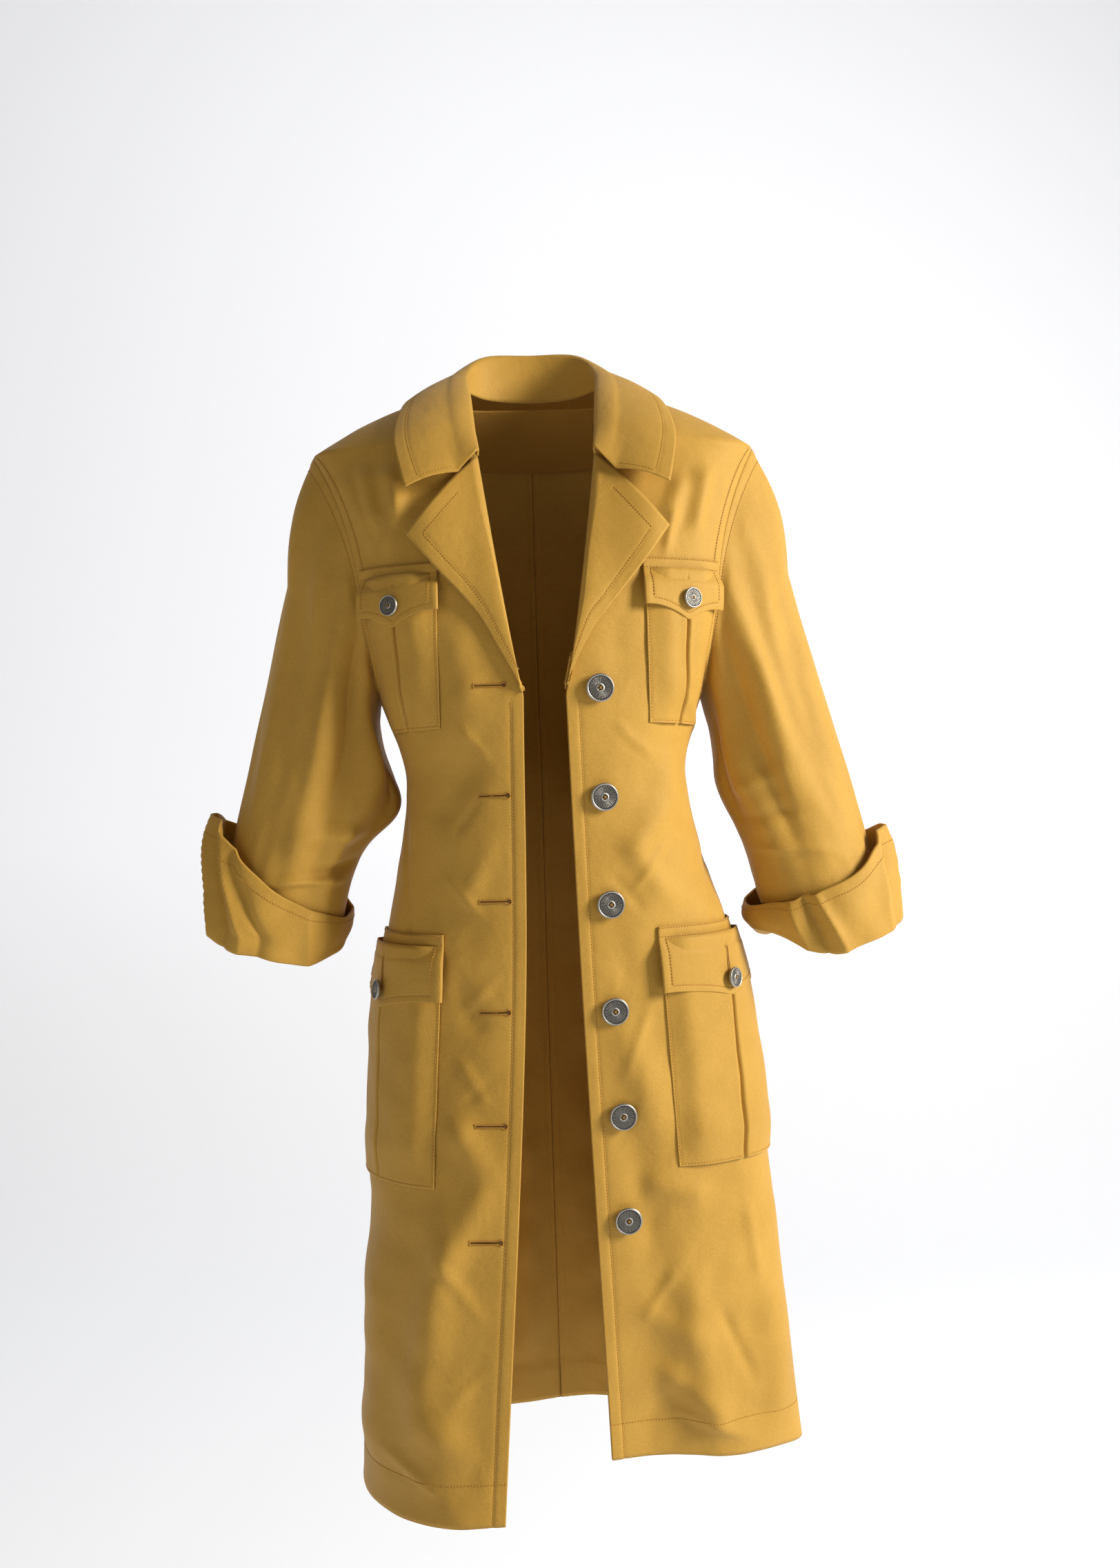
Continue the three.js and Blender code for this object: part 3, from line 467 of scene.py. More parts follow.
shoulder_rows = heights[0] - (heights[0] - heights[1]) * (np.linspace(0.18, 1, 34)) ** (1 / 0.62)
body_rows = np.concatenate([shoulder_rows, np.arange(heights[1] - 4, heights[6], -4.0), [heights[6]]])
edge_steps = np.array([0, 1.2, 3, 6, 9, 10.8, 12, 13.2, 15, 18, 22, 27, 32.0])
seam_steps = np.array([26, 20, 15, 11, 9.6, 8.4, 7.2, 6, 4, 2.4, 1.2, 0.0])
hem_turn, edge_turn = 36, 12
hem_line = heights[6] + hem_turn
hem_row = int(np.argmin(np.abs(body_rows - hem_line)))
fronts = {}
for side, word in SIDES.items():
    start = edge_half(side, body_rows)
    total = girth(side, -1, start, body_rows)
    squeeze = np.clip(total / 110, 0.05, 1)[:, None]
    near, far = edge_steps * squeeze, total[:, None] - seam_steps * squeeze
    reach = joined(near, far, 50)
    grid = walk(side, -1, start, reach, body_rows)
    n = outward(grid)
    z = grid[..., 2]
    from_seam = total[:, None] - reach
    ease = smooth((reach - 6) / 60) * smooth((from_seam - 2) / 40) * smooth((4 - z) / 40)
    out = rumple(side, -1, grid, ease)
    below_break = smooth((break_height - z) / 20)
    out -= 0.55 * bump(reach, edge_turn, 1.3) * below_break
    out += 0.5 * smooth((edge_turn - reach) / 2) * below_break
    out -= 0.55 * bump(z, hem_line, 2.4)
    in_armhole = (z < heights[1]) & (z > heights[3] + 6)
    out += (1.0 * smooth((10 - from_seam) / 1.6) - 0.5 * bump(from_seam, 8.4, 1.2)) * in_armhole
    # the seam from the waist to the hip pocket
    seam_x = along([-400, -540, -600], (140, 138, 138) if side < 0 else (160, 163, 165), z)
    out -= (2.0 * bump(np.abs(grid[..., 0]), seam_x, 2.6) * smooth((-395 - z) / 30)
            * smooth((z + 560) / 10))
    grid = settle(side, -1, grid + n * out[..., None])
    n = outward(grid)
    fronts[side] = grid, n, reach, body_rows
    thick = 1.3 + 1.1 * smooth((edge_turn - reach) / 1.5) * below_break + 0.9 * smooth((hem_line - z) / 2)
    front = cloth(f"front_{word}_cloth", grid, n, thick, twill)
    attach(front, "root")
    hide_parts(f"front_{word}")
    at_edge = body_rows < break_height - 4, 6
    at_armhole = (body_rows < heights[1]) & (body_rows > heights[3] + 8), grid.shape[1] - len(seam_steps) + 5
    lines = [sewn(grid, n, at) for at in (at_edge, hem_row, at_armhole)]
    front_stitches = stitching(f"front_{word}_topstitching", lines)
    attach(front_stitches, "root")

# ---- Backs and the neck facing -------------------------------------------------------------------
# Two more pieces of the same twill, joined by a seam down the middle that is felled and topstitched.
# A strip of the cloth faces the inside of the neck.

back_folds = [(-130, -90, -110, -230, 14, 3), (130, -90, 112, -230, 14, 3), (-60, -300, -20, -420, 22, 3),
              (66, -300, 24, -410, 22, 3), (-90, -380, -120, -470, 16, -3), (96, -380, 128, -470, 16, -3),
              (-70, -560, -96, -1060, 30, 8), (58, -600, 88, -1060, 28, 7), (-150, -640, -168, -1060, 22, 6),
              (150, -640, 178, -1060, 24, 6), (-20, -700, -34, -1060, 20, -4),
              (110, -800, 130, -1060, 18, -3)]
middle_seam = np.array([0.0, 1, 2.5, 4, 5.5, 6.5, 7.5, 9, 12, 17, 24])
for side, word in SIDES.items():
    rows = np.where(body_rows > 14.9, 14.9, body_rows)
    total = girth(side, 1, 0 * rows, rows)
    far = total[:, None] - seam_steps * np.clip(total / 150, 0.1, 1)[:, None]
    near = middle_seam + 0 * far[:, :1]
    reach = joined(near, far, 48)
    grid = walk(side, 1, 0.02 + 0 * rows, reach, rows)
    n = outward(grid)
    z = grid[..., 2]
    from_seam = total[:, None] - reach
    ease = smooth((reach - 2) / 30) * smooth((from_seam - 2) / 40) * smooth((4 - z) / 40)
    out = rumple(side, 1, grid, ease)
    if side < 0:
        out += 0.9 * smooth((8 - reach) / 1.5) * smooth((reach - 0.2) / 0.8)
    out -= 0.5 * bump(reach, 6.5, 1.1) + 0.6 * bump(reach, 0, 1.0)
    out -= 0.55 * bump(z, hem_line, 2.4)
    grid = settle(side, 1, grid + n * out[..., None])
    n = outward(grid)
    thick = 1.3 + 0.9 * smooth((hem_line - z) / 2)
    back = cloth(f"back_{word}_cloth", grid, n, thick, twill)
    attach(back, "root")
    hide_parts(f"back_{word}")
    lines = [sewn(grid, n, at) for at in ([hem_row, (slice(None), 5)] if side < 0 else [hem_row])]
    back_stitches = stitching(f"back_{word}_topstitching", lines)
    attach(back_stitches, "root")

# the same cloth seen from its wrong side: duller, ribs hardly showing; darker and a little redder than the
# right side, which is painted shade for the inside of the coat
twill_inside_painted_shade, tree, output = new_material("mustard cotton twill, wrong side, darkened as painted shade")
place = add_node(tree, "ShaderNodeTexCoord").outputs["Object"]
patch = add_node(tree, "ShaderNodeTexNoise", {"Vector": place, "Scale": 9.0, "Detail": 4.0})
shade = add_node(tree, "ShaderNodeMix", {0: patch.outputs[0], 6: linear("#A0752C"), 7: linear("#B28538")},
                 data_type="RGBA")
pick = add_node(tree, "ShaderNodeTexNoise", {"Vector": place, "Scale": 900.0, "Detail": 1.0})
weave = add_node(tree, "ShaderNodeBump", {"Height": pick.outputs[0], "Distance": 0.0004, "Strength": 0.3})
inside_shader = add_node(tree, "ShaderNodeBsdfPrincipled", {"Base Color": shade.outputs[2], "Roughness": 0.88,
                         "Specular IOR Level": 0.2, "Sheen Weight": 0.1, "Normal": weave.outputs[0]})
tree.links.new(inside_shader.outputs[0], output.inputs[0])

u, v = np.meshgrid(np.linspace(0, 1, 61), np.linspace(0, 1, 26))
reach_round = np.abs(2 * u - 1)
z = 14 - 60 * v * (1 - 0.5 * reach_round**2)
angle = math.pi / 2 - np.clip(reach_round * 0.9, 0.001, None)
neck_grid = np.where((u < 0.5)[..., None], skin(-1, 1, angle, z), skin(1, 1, angle, z))
n = outward(neck_grid)
# the neck facing takes the darker wrong-side twill, whose colour holds painted shade
neck_facing = cloth("back_neck_facing_cloth", neck_grid - n * 3.6, n, 1.0, twill_inside_painted_shade)
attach(neck_facing, "root")
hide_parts("back_neck_facing")

# ---- Front facings -------------------------------------------------------------------------------
# A strip of twill lies inside each front edge from the break of the lapel to the hem. Its free edge is
# overlocked.

for side, word in SIDES.items():
    grid, n, reach, rows = fronts[side]
    keep = rows < break_height + 4
    columns = reach[-40] < 72
    strip, out = grid[keep][:, columns], n[keep][:, columns]
    depth_in = 2.75 + 0 * strip[..., :1]
    # the facing takes the darker wrong-side twill, whose colour holds painted shade
    facing = cloth(f"front_facing_{word}_cloth", strip - out * depth_in, out, 0.8, twill_inside_painted_shade)
    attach(facing, "root")
    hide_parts(f"front_facing_{word}")
    edge = (strip - out * depth_in)[:, -1] - out[:, -1] * 0.4
    overlock = stitching(f"front_facing_{word}_overlocking", [stitch_points(edge, out[:, -1], 2.6, 2.9, 0.9)])
    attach(overlock, "root")

# ---- Collar --------------------------------------------------------------------------------------
# Upper and under collar in twill, folded over a low stand: the stand goes down inside to the neck seam and
# the fall spreads over the shoulders. Topstitched 12 mm in; the ends meet the lapels in a short seam.


def through(knots, share):
    """Points at shares along a smooth curve through knots, with centripetal spacing."""
    p = np.array(knots, float)
    p = np.concatenate([[2 * p[0] - p[1]], p, [2 * p[-1] - p[-2]]])
    t = np.clip(np.asarray(share, float), 0, 1) * (len(p) - 3)
    i = np.minimum(t.astype(int), len(p) - 4)
    w = (t - i)[..., None]
    a, b, c, d = p[i], p[i + 1], p[i + 2], p[i + 3]
    gap = lambda m, n: np.maximum(np.linalg.norm(n - m, axis=-1, keepdims=True) ** 0.5, 1e-3)
    ab, bc, cd = gap(a, b), gap(b, c), gap(c, d)
    first = ((b - a) / ab - (c - a) / (ab + bc) + (c - b) / bc) * bc
    last = ((c - b) / bc - (d - b) / (bc + cd) + (d - c) / cd) * bc
    return (b + first * w + (3 * (c - b) - 2 * first - last) * w**2 + (2 * (b - c) + first + last) * w**3)


def round_neck(half):
    """Knots from the right gorge round the back of the neck to the left gorge, from one half of them."""
    return [(-x, y, z) for x, y, z in half] + [(x, y, z) for x, y, z in half[-2::-1]]


seat_knots = round_neck([(58, -90, -69), (62, -40, -14), (70, 8, 20), (46, 41, 21), (0, 55, 21)])
fold_knots = round_neck([(57, -93, -64), (63, -36, 2), (64, 14, 42), (46, 45, 69), (0, 56, 74)])
edge_knots = round_neck([(128, -114, -102), (138, -72, -44), (122, 0, 11), (86, 76, 6), (0, 102, -8)])
round_share = np.linspace(0, 1, 181)
reach_end = np.abs(2 * round_share - 1)
seat, fold, outer = (through(knots, round_share) for knots in (seat_knots, fold_knots, edge_knots))
for line in (seat, fold):
    line[:, 0] *= 1 - 0.02 * smooth((reach_end - 0.9) / 0.1)
down_share = np.linspace(0, 1, 46)
stand_share = 0.3
layers = []
for w in down_share:
    if w < stand_share:
        t = w / stand_share
        point = seat + (fold - seat) * t
        point[:, 2] -= 1.5 * (1 - t)
    else:
        t = (w - stand_share) / (1 - stand_share)
        point = fold + (outer - fold) * t
        away = point * np.array([1, 1, 0]) + np.array([0, -5, 30])
        away /= np.linalg.norm(away, axis=1, keepdims=True)
        point = point + away * (6 * math.sin(math.pi * t) + 2.5 * math.sin(math.pi * min(t / 0.25, 1)))
        # the end runs down the gorge seam to the notch, then out to the collar's point
        end = smooth((reach_end - 0.84) / 0.16)[:, None]
        notch = np.array([76.0, -100, -88])
        tip = np.array([127.0, -112, -104])
        split = 0.34
        bent = np.array([57.0, -95, -65]) + (notch - [57.0, -95, -65]) * (t / split) if t < split else \
            notch + (tip - notch) * ((t - split) / (1 - split)) + np.array([0, -1.0, 3.5]) * math.sin(
                math.pi * (t - split) / (1 - split))
        bent = bent * np.stack([np.sign(round_share - 0.5), 1 + 0 * round_share, 1 + 0 * round_share], 1)
        point = point * (1 - end) + bent * end
    layers.append(point)
collar_grid = np.stack(layers)
for _ in range(5):      # round the fold over
    middle = 0.5 * collar_grid[1:-1] + 0.25 * (collar_grid[:-2] + collar_grid[2:])
    near_fold = bump(down_share[1:-1], stand_share, 0.08)[:, None, None]
    collar_grid[1:-1] += (middle - collar_grid[1:-1]) * near_fold
n = normals(collar_grid)
if n[-4, 90, 1] < 0:
    n = -n
thread_at = 1 - 12.5 / 92
fall_line = bump(down_share, thread_at, 0.012)[:, None] * np.ones(181)
end_line = bump(np.minimum(round_share, 1 - round_share), 0.024, 0.003) * (down_share[:, None] > 0.5)
collar_grid = collar_grid + n * (-0.5 * np.maximum(fall_line, end_line))[..., None]
collar_body = collar_grid + n * 1.1
collar = cloth("collar_cloth", collar_body, n, 2.2, twill)
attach(collar, "root")
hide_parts("collar_fall", "collar_stand")
run = np.linspace(0.026, 0.974, 260)
lines = [stitch_points(on_grid(collar_body, run, 0 * run + thread_at), on_grid(n, run, 0 * run + thread_at))]
for end in (0.024, 0.976):
    down = np.linspace(0.56, thread_at, 30)
    lines.append(stitch_points(on_grid(collar_body, 0 * down + end, down), on_grid(n, 0 * down + end, down)))
collar_stitches = stitching("collar_topstitching", lines)
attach(collar_stitches, "root")

# ---- Lapels --------------------------------------------------------------------------------------
# The top of each front and its facing, turned back on the roll line and pressed. Topstitched all round,
# 12 mm in; the outer edge is stiff enough to stand a little off the chest.

lapel_edge = {-1: [(20, -303), (26, -290), (41, -262), (60, -228), (98, -183), (124, -150)],
              1: [(19, -300), (26, -284), (48, -243), (62, -226), (96, -184), (122, -148)]}
lapel_notch, notch_share = np.array([76, -90]), 0.3
up_share = np.linspace(0, 1, 64)
over = np.linspace(0, 1, 44)
for side, word in SIDES.items():
    z = break_height + 3 + (roll_top - 2 - break_height) * up_share
    inner = np.stack([edge_half(side, z) - 0.5, z], 1)
    knots = [(x, 0, h) for x, h in lapel_edge[side]]
    outer = through(knots, up_share)[:, [0, 2]]
    to_notch, from_notch = (over / notch_share)[:, None], ((over - notch_share) / (1 - notch_share))[:, None]
    top = np.where((over < notch_share)[:, None], inner[-1] + (lapel_notch - inner[-1]) * to_notch,
                   lapel_notch + (outer[-1] - lapel_notch) * from_notch)
    low = inner[0] + (outer[0] - inner[0]) * over[:, None]
    u, v = over[None, :, None], up_share[:, None, None]
    flat = (inner[:, None] * (1 - u) + outer[:, None] * u + low[None] * (1 - v) + top[None] * v
            - (low[0] * (1 - u) * (1 - v) + low[-1] * u * (1 - v) + top[0] * (1 - u) * v + top[-1] * u * v))
    x, z = flat[..., 0], flat[..., 1]
    angle = angle_at(side, x, z)
    base = skin(side, -1, angle, z)
    body_n = outward(base)
    width = np.linalg.norm(outer - inner, axis=1)
    across = over[None] * width[:, None]
    lift = (4.4 * np.sqrt(np.clip(across / 9, 0, 1)) * smooth(up_share * 7 + 0.15)[:, None] + 1.0
            + 8.0 * smooth((x - 60) / 52)
            + 1.5 * np.sin(math.pi * over)[None] * smooth(up_share * 2)[:, None])
    from_edge = np.minimum((1 - over)[None] * width[:, None],
                           np.where(over > notch_share, 1, 9)[None] * (1 - up_share)[:, None] * 170)
    lift -= 0.5 * bump(from_edge, edge_turn, 1.2)
    grid = base + body_n * lift[..., None]
    n = outward(grid)
    lapel = cloth(f"lapel_{word}_cloth", grid, n, 2.3, twill)
    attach(lapel, "root")
    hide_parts(f"lapel_{word}")
    inset = 1 - edge_turn / np.maximum(width, edge_turn + 1)
    run = np.linspace(0.16, 0.925, 120)
    lines = [sewn(grid, n, np.interp(run, up_share, inset), run)]
    run = np.linspace(np.interp(0.925, up_share, inset), 0.33, 60)
    lines.append(sewn(grid, n, run, 0.925 + 0 * run))
    lapel_stitches = stitching(f"lapel_{word}_topstitching", lines)
    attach(lapel_stitches, "root")

# ---- Pockets and their flaps ---------------------------------------------------------------------
# Four patch pockets with an inverted pleat down the middle, edge-stitched. Over each lies a flap with a
# pointed lower edge and a worked buttonhole; a stitched strip along its top holds it to the front.

# the cut through a buttonhole: a dark lens whose colour is painted shadow, standing in for the shaded gap
# between the cut edges
slit_painted_shadow, tree, output = new_material("cut edge of the twill, in shadow")
place = add_node(tree, "ShaderNodeTexCoord").outputs["Object"]
shadow_mottle = add_node(tree, "ShaderNodeTexNoise", {"Vector": place, "Scale": 700.0})
shade = add_node(tree, "ShaderNodeMix", {0: shadow_mottle.outputs[0], 6: linear("#523513"), 7: linear("#775222")},
                 data_type="RGBA")
slit_shader = add_node(tree, "ShaderNodeBsdfPrincipled", {"Base Color": shade.outputs[2], "Roughness": 0.95})
tree.links.new(slit_shader.outputs[0], output.inputs[0])

# in mm: inner edge from the middle, top, width, depth, fullness, drop of the flap, of its point, and slant
pockets = {"chest": (99, -186, 84, 148, 6.0, 36, 14, 0.0), "hip": (104, -541, 145, 226, 6.5, 52, 11, 0.06)}
strip_height, edge_stitch, flap_stitch = 10, 2.6, 6      # and how far in the stitches lie


def worked_hole(name, spot, along_it, n, length, eyelet, bow=0):
    """A buttonhole worked round a slit, with a bar tack at one end and perhaps an eyelet at the other."""
    across = np.cross(n, along_it)
    reach = np.arange(0.6, length, 0.55)
    ends = []
    for k in reach:
        gap = 0.4 + (1.5 * bump(length - k, 0, 2.2) if eyelet else 0)
        ends += [(along_it * k + across * way * gap, along_it * (k + 0.1) + across * way * (gap + 1.6))
                 for way in (-1, 1)]
    if eyelet:
        for turn in np.linspace(-1.9, 1.9, 19):
            ray = along_it * math.cos(turn) + across * math.sin(turn)
            ends.append((along_it * length + ray * 1.7, along_it * length + ray * 3.3))
    ends += [(across * k - along_it * 1.1, across * k + along_it * 0.5) for k in np.linspace(-2.4, 2.4, 9)]

    def arched(spots):
        """The same spots bent along with the cloth, which rises by bow half-way."""
        share = np.clip((spots - spot) @ along_it / length, 0, 1)
        return spots + n * (4 * bow * share * (1 - share))[:, None]

    a, b = (arched(spot + np.array(ends)[:, k] + n * 0.35) for k in (0, 1))
    hole = stitching(f"{name}_stitches", [spindles(a, b, np.tile(n, (len(a), 1)), 0.36)])
    outline = [(-0.2, 0), (1.5, 0.45), (length - 2, 0.45)]
    if eyelet:
        outline += [(length + 1.7 * math.cos(t), 1.75 * math.sin(t)) for t in np.linspace(2.2, 0, 9)]
    else:
        outline += [(length, 0)]
    outline[2:2] = [(length * share, 0.45) for share in (0.25, 0.5, 0.75)]
    lens = outline + [(x, -y) for x, y in outline[-2:0:-1]]
    points = [spot + along_it * x + across * y + n * h for h in (0.45, -0.4) for x, y in lens]
    count = len(lens)
    faces = [list(range(count)), list(range(2 * count - 1, count - 1, -1))]
    faces += [(k, k + count, (k + 1) % count + count, (k + 1) % count) for k in range(count)]
    # the slit: a thin dark lens over the cloth, coloured as painted shadow
    slit = mesh_object(f"{name}_slit", arched(np.array(points)), faces, slit_painted_shadow)
    return hole, slit


edge_columns = np.array([8, 5.5, 3.6, 2.6, 1.8, 0.8, 0])
for side, word in SIDES.items():
    for kind, (inner, top, width, depth, full, flap_drop, point_drop, slant) in pockets.items():

        def laid(across, down, out):
            """Points of this pocket: across from its inner edge, down from its top, out from the front."""
            rows = top - down[:, 0]
            start = inner + slant * np.clip(down[:, 0], 0, None)
            base = walk(side, -1, start, np.clip(across, 0, None), rows)
            base[..., 0] += side * np.minimum(across, 0)
            n = outward(base)
            return base + n * (out + 0.8 * rumple(side, -1, base, smooth((across + 30) / 60)))[..., None]

        middle = width / 2
        a = np.concatenate([edge_columns[::-1], np.linspace(8, middle - 5, 14)[1:],
                            middle + np.array([-3.2, -2, -1.2, -0.5, 0, 0.5, 1.2, 2, 3.2]),
                            np.linspace(middle + 5, width - 8, 14)[:-1], width - edge_columns])
        d = np.concatenate([np.linspace(1, depth - 8, int(depth / 4.5)), depth - edge_columns[1:]])
        A, D = np.meshgrid(a, d)
        side_rise = smooth(A / 26) * smooth((width - A) / 26)
        swell = full * side_rise * (0.35 + 0.65 * smooth((depth - D) / 40))
        from_edge = np.minimum(np.minimum(A, width - A), depth - D)
        pleat = bump(A, middle, 0.9 + 1.1 * D / depth)
        lips = bump(np.abs(A - middle), 3.4, 2.4)
        out = (1.7 + swell + 0.5 * smooth(from_edge / 1.0) - 0.45 * bump(from_edge, edge_stitch, 0.7)
               - 3.6 * pleat * smooth((D - 4) / 30) + 0.7 * lips * smooth((D - 4) / 30)
               + 0.5 * np.sin(A / 9 + D / 23) * np.sin(D / 17) * side_rise)
        grid = settle(side, -1, laid(A, D, out))
        n = outward(grid)
        bag = cloth(f"{kind}_pocket_{word}_cloth", grid, n, 1.2, twill)
        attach(bag, "root")
        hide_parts(f"{kind}_pocket_{word}")
        share_of = lambda values, at: np.interp(at, values, np.linspace(0, 1, len(values)))
        down, run = np.linspace(6, depth - edge_stitch, 80), np.linspace(edge_stitch, width - edge_stitch, 60)
        lines = [sewn(grid, n, share_of(a, at) + 0 * down, share_of(d, down)) for at in (run[0], run[-1])]
        lines.append(sewn(grid, n, share_of(a, run), share_of(d, down[-1]) + 0 * run))
        pocket_stitches = stitching(f"{kind}_pocket_{word}_stitching", lines)
        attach(pocket_stitches, "root")

        # the flap and its strip, one piece of doubled cloth
        a = np.concatenate([[-1, -0.2, 1, 3, 5, 6, 7, 9], np.linspace(12, width - 12, 40),
                            width + np.array([-9, -7, -6, -5, -3, -1, 0.2, 1])])
        b = np.concatenate([np.linspace(0, 0.16, 6), np.linspace(0.19, 0.78, 22), np.linspace(0.8, 1, 14)])
        A, B = np.meshgrid(a, b)
        off_middle = np.abs(A - middle) / (width * 0.46)
        bottom = (flap_drop + point_drop * np.clip(1 - off_middle, 0, 1) ** 1.7
                  + 1.2 * smooth(off_middle - 0.2))
        D = -strip_height + (bottom + strip_height) * B
        from_edge = np.minimum(np.minimum(A + 1, width + 1 - A), (bottom - D))
        out = 2.6 + 0.3 * smooth((D + strip_height) / 2) + 6.6 * smooth((D - 1) / 17)
        out += 1.6 * smooth(off_middle - 0.55) * smooth((D - 16) / 20)
        out -= 0.45 * bump(from_edge, flap_stitch, 0.9) * (D > 3) + 0.5 * bump(D, 0, 1.1)
        rows_d = np.linspace(-strip_height, (flap_drop + point_drop + 3), 60)
        AA, DD = np.meshgrid(a, rows_d)
        sheet_base = laid(AA, DD, 0 * AA)
        sheet_n = outward(sheet_base)
        uu, vv = share_of(a, A), share_of(rows_d, D)
        grid = settle(side, -1, on_grid(sheet_base, uu, vv) + on_grid(sheet_n, uu, vv) * out[..., None])
        n = outward(grid)
        flap = cloth(f"{kind}_flap_{word}_cloth", grid, n, 1.8, twill)
        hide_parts(f"{kind}_flap_{word}", f"{kind}_flap_band_{word}")
        # shares down the flap of points at columns and distances below its seam
        v_at = lambda columns, downs: share_of(b, np.array([np.interp(down, D[:, column], b)
                                                            for column, down in zip(columns, downs)]))
        last = len(a) - 1
        columns = np.arange(5, last - 4)
        lines = [sewn(grid, n, columns / last, v_at(columns, bottom[0, columns] - flap_stitch))]
        for c in (5, last - 5):
            vv = v_at([c] * 24, np.linspace(1, bottom[0, c] - flap_stitch, 24))
            lines.append(sewn(grid, n, c / last + 0 * vv, vv))
        columns = np.arange(0, last + 1)
        for down in (0.0, -strip_height + 1.5):
            lines.append(sewn(grid, n, columns / last, v_at(columns, down + 0.0 * columns)))
        flap_stitches = stitching(f"{kind}_flap_{word}_topstitching", lines)
        half = len(a) // 2
        at_middle = lambda values, v, u=share_of(a, middle): on_grid(values, np.array([u]), np.ravel(v))[0]
        spot = at_middle(grid, v_at([half], [flap_drop * 0.3]))
        end = at_middle(grid, v_at([half], [flap_drop - 7]))
        hole_n = at_middle(n, share_of(b, 0.5))
        length = np.linalg.norm(end - spot)
        hole, slit = worked_hole(f"{kind}_flap_{word}_buttonhole", spot, (end - spot) / length, hole_n,
                                 length, False)
        hinge = at_middle(grid, v_at([half], [1.0]), 0.5) * MM
        tip = at_middle(grid, v_at([half], [20.0]), 0.5) * MM
        for piece in (flap, flap_stitches, hole, slit):
            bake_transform(piece)

# ---- Front buttonholes ---------------------------------------------------------------------------
# Six keyhole buttonholes worked across the right front, their eyelets towards the edge, where the shank sits.

hole_length, hole_inset = 28, 16
for count in range(6):
    grid, n, reach, rows = fronts[-1]
    z = -296 - 103 * count
    row = int(np.argmin(np.abs(rows - z)))
    at = lambda values, s: np.stack([np.interp(s, reach[row], values[row, :, k]) for k in range(3)], -1)
    spot, end = at(grid, hole_inset + hole_length), at(grid, hole_inset)
    hole_n = at(n, hole_inset + hole_length / 2)
    length = np.linalg.norm(end - spot)
    bow = float(hole_n @ (at(grid, hole_inset + hole_length / 2) - (spot + end) / 2))
    way = (end - spot) / length
    for piece in worked_hole(f"front_buttonhole_{count + 1}", spot, way, hole_n, length, True, bow):
        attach(piece, "root")

# ---- Buttons -------------------------------------------------------------------------------------
# Cast zinc buttons with a raised rim, a sunray of fine flutes and a small boss with four holes. Each is sewn
# through the holes and stands on a wound thread shank.

# silver-plated zinc, rubbed bright on the high parts: a soft metal gloss with fine scratches
silver, tree, output = new_material("silver-plated cast zinc, rubbed bright")
place = add_node(tree, "ShaderNodeTexCoord").outputs["Object"]
scratch = add_node(tree, "ShaderNodeTexNoise", {"Vector": place, "Scale": 1600.0, "Detail": 3.0})
shade = add_node(tree, "ShaderNodeMix", {0: scratch.outputs[0], 6: linear("#8C8982"), 7: linear("#C2BEB5")},
                 data_type="RGBA")
scuff = add_node(tree, "ShaderNodeBump", {"Height": scratch.outputs[0], "Distance": 0.0002, "Strength": 0.3})
silver_shader = add_node(tree, "ShaderNodeBsdfPrincipled", {"Base Color": shade.outputs[2], "Metallic": 1.0,
                         "Roughness": 0.42, "Normal": scuff.outputs[0]})
tree.links.new(silver_shader.outputs[0], output.inputs[0])

# the same plating blackened with a sulphide bath and left dark in the hollows
patina, tree, output = new_material("blackened silver plating")
place = add_node(tree, "ShaderNodeTexCoord").outputs["Object"]
cloud = add_node(tree, "ShaderNodeTexNoise", {"Vector": place, "Scale": 900.0, "Detail": 2.0})
shade = add_node(tree, "ShaderNodeMix", {0: cloud.outputs[0], 6: linear("#17130F"), 7: linear("#332D26")},
                 data_type="RGBA")
patina_shader = add_node(tree, "ShaderNodeBsdfPrincipled", {"Base Color": shade.outputs[2], "Metallic": 0.25,
                         "Roughness": 0.55})
tree.links.new(patina_shader.outputs[0], output.inputs[0])

hole_share = 0.13      # how far out the four holes lie, as a share of the radius


def cast_button(radius, thickness, flutes):
    """Points, faces and face slots of a button lying flat, its face up, with 0 bright and 1 blackened."""
    around, top_count = flutes * 4, 18
    shares = np.array([0, 0.045, 0.10, 0.15, 0.2, 0.235, 0.26, 0.29, 0.36, 0.5, 0.64, 0.74, 0.79, 0.82, 0.86,
                       0.91, 0.96, 0.99, 1.0, 0.985, 0.93, 0.6, 0.0])
    share, turn = np.meshgrid(shares, 2 * np.pi * np.arange(around) / around, indexing="ij")
    x, y = share * radius * np.cos(turn), share * radius * np.sin(turn)
    rim, boss = 0.95 * bump(share, 0.92, 0.06), 0.55 * (1 - smooth((share - 0.24) / 0.06))
    field = smooth((share - 0.27) / 0.05) * (1 - smooth((share - 0.79) / 0.04))
    rays = 0.34 * (np.arange(around) % 4 < 2) * field
    h = thickness - 1.15 + rim + boss + rays - 0.7 * smooth((share - 0.95) / 0.05)
    for c in math.pi / 4 + np.arange(4) * math.pi / 2:
        off = hole_share * radius
        away = np.hypot(x - off * math.cos(c), y - off * math.sin(c))
        h -= 1.5 * np.exp(-(away / (0.055 * radius))**4)
    h[top_count:] = np.array([[0.55], [0.3], [0.05], [0], [0]]) * thickness
    faces, slots = [], []
    for k, s in enumerate((shares[:-1] + shares[1:]) / 2):
        for i in range(around):
            j = (i + 1) % around
            faces.append((k * around + i, k * around + j, (k + 1) * around + j, (k + 1) * around + i))
            bright = s > 0.84 or k >= top_count - 1 or 0.2 < s < 0.29 or (0.29 <= s <= 0.8 and i % 4 == 0)
            slots.append(0 if bright else 1)
    return np.stack([x, y, h], -1).reshape(-1, 3), faces, slots


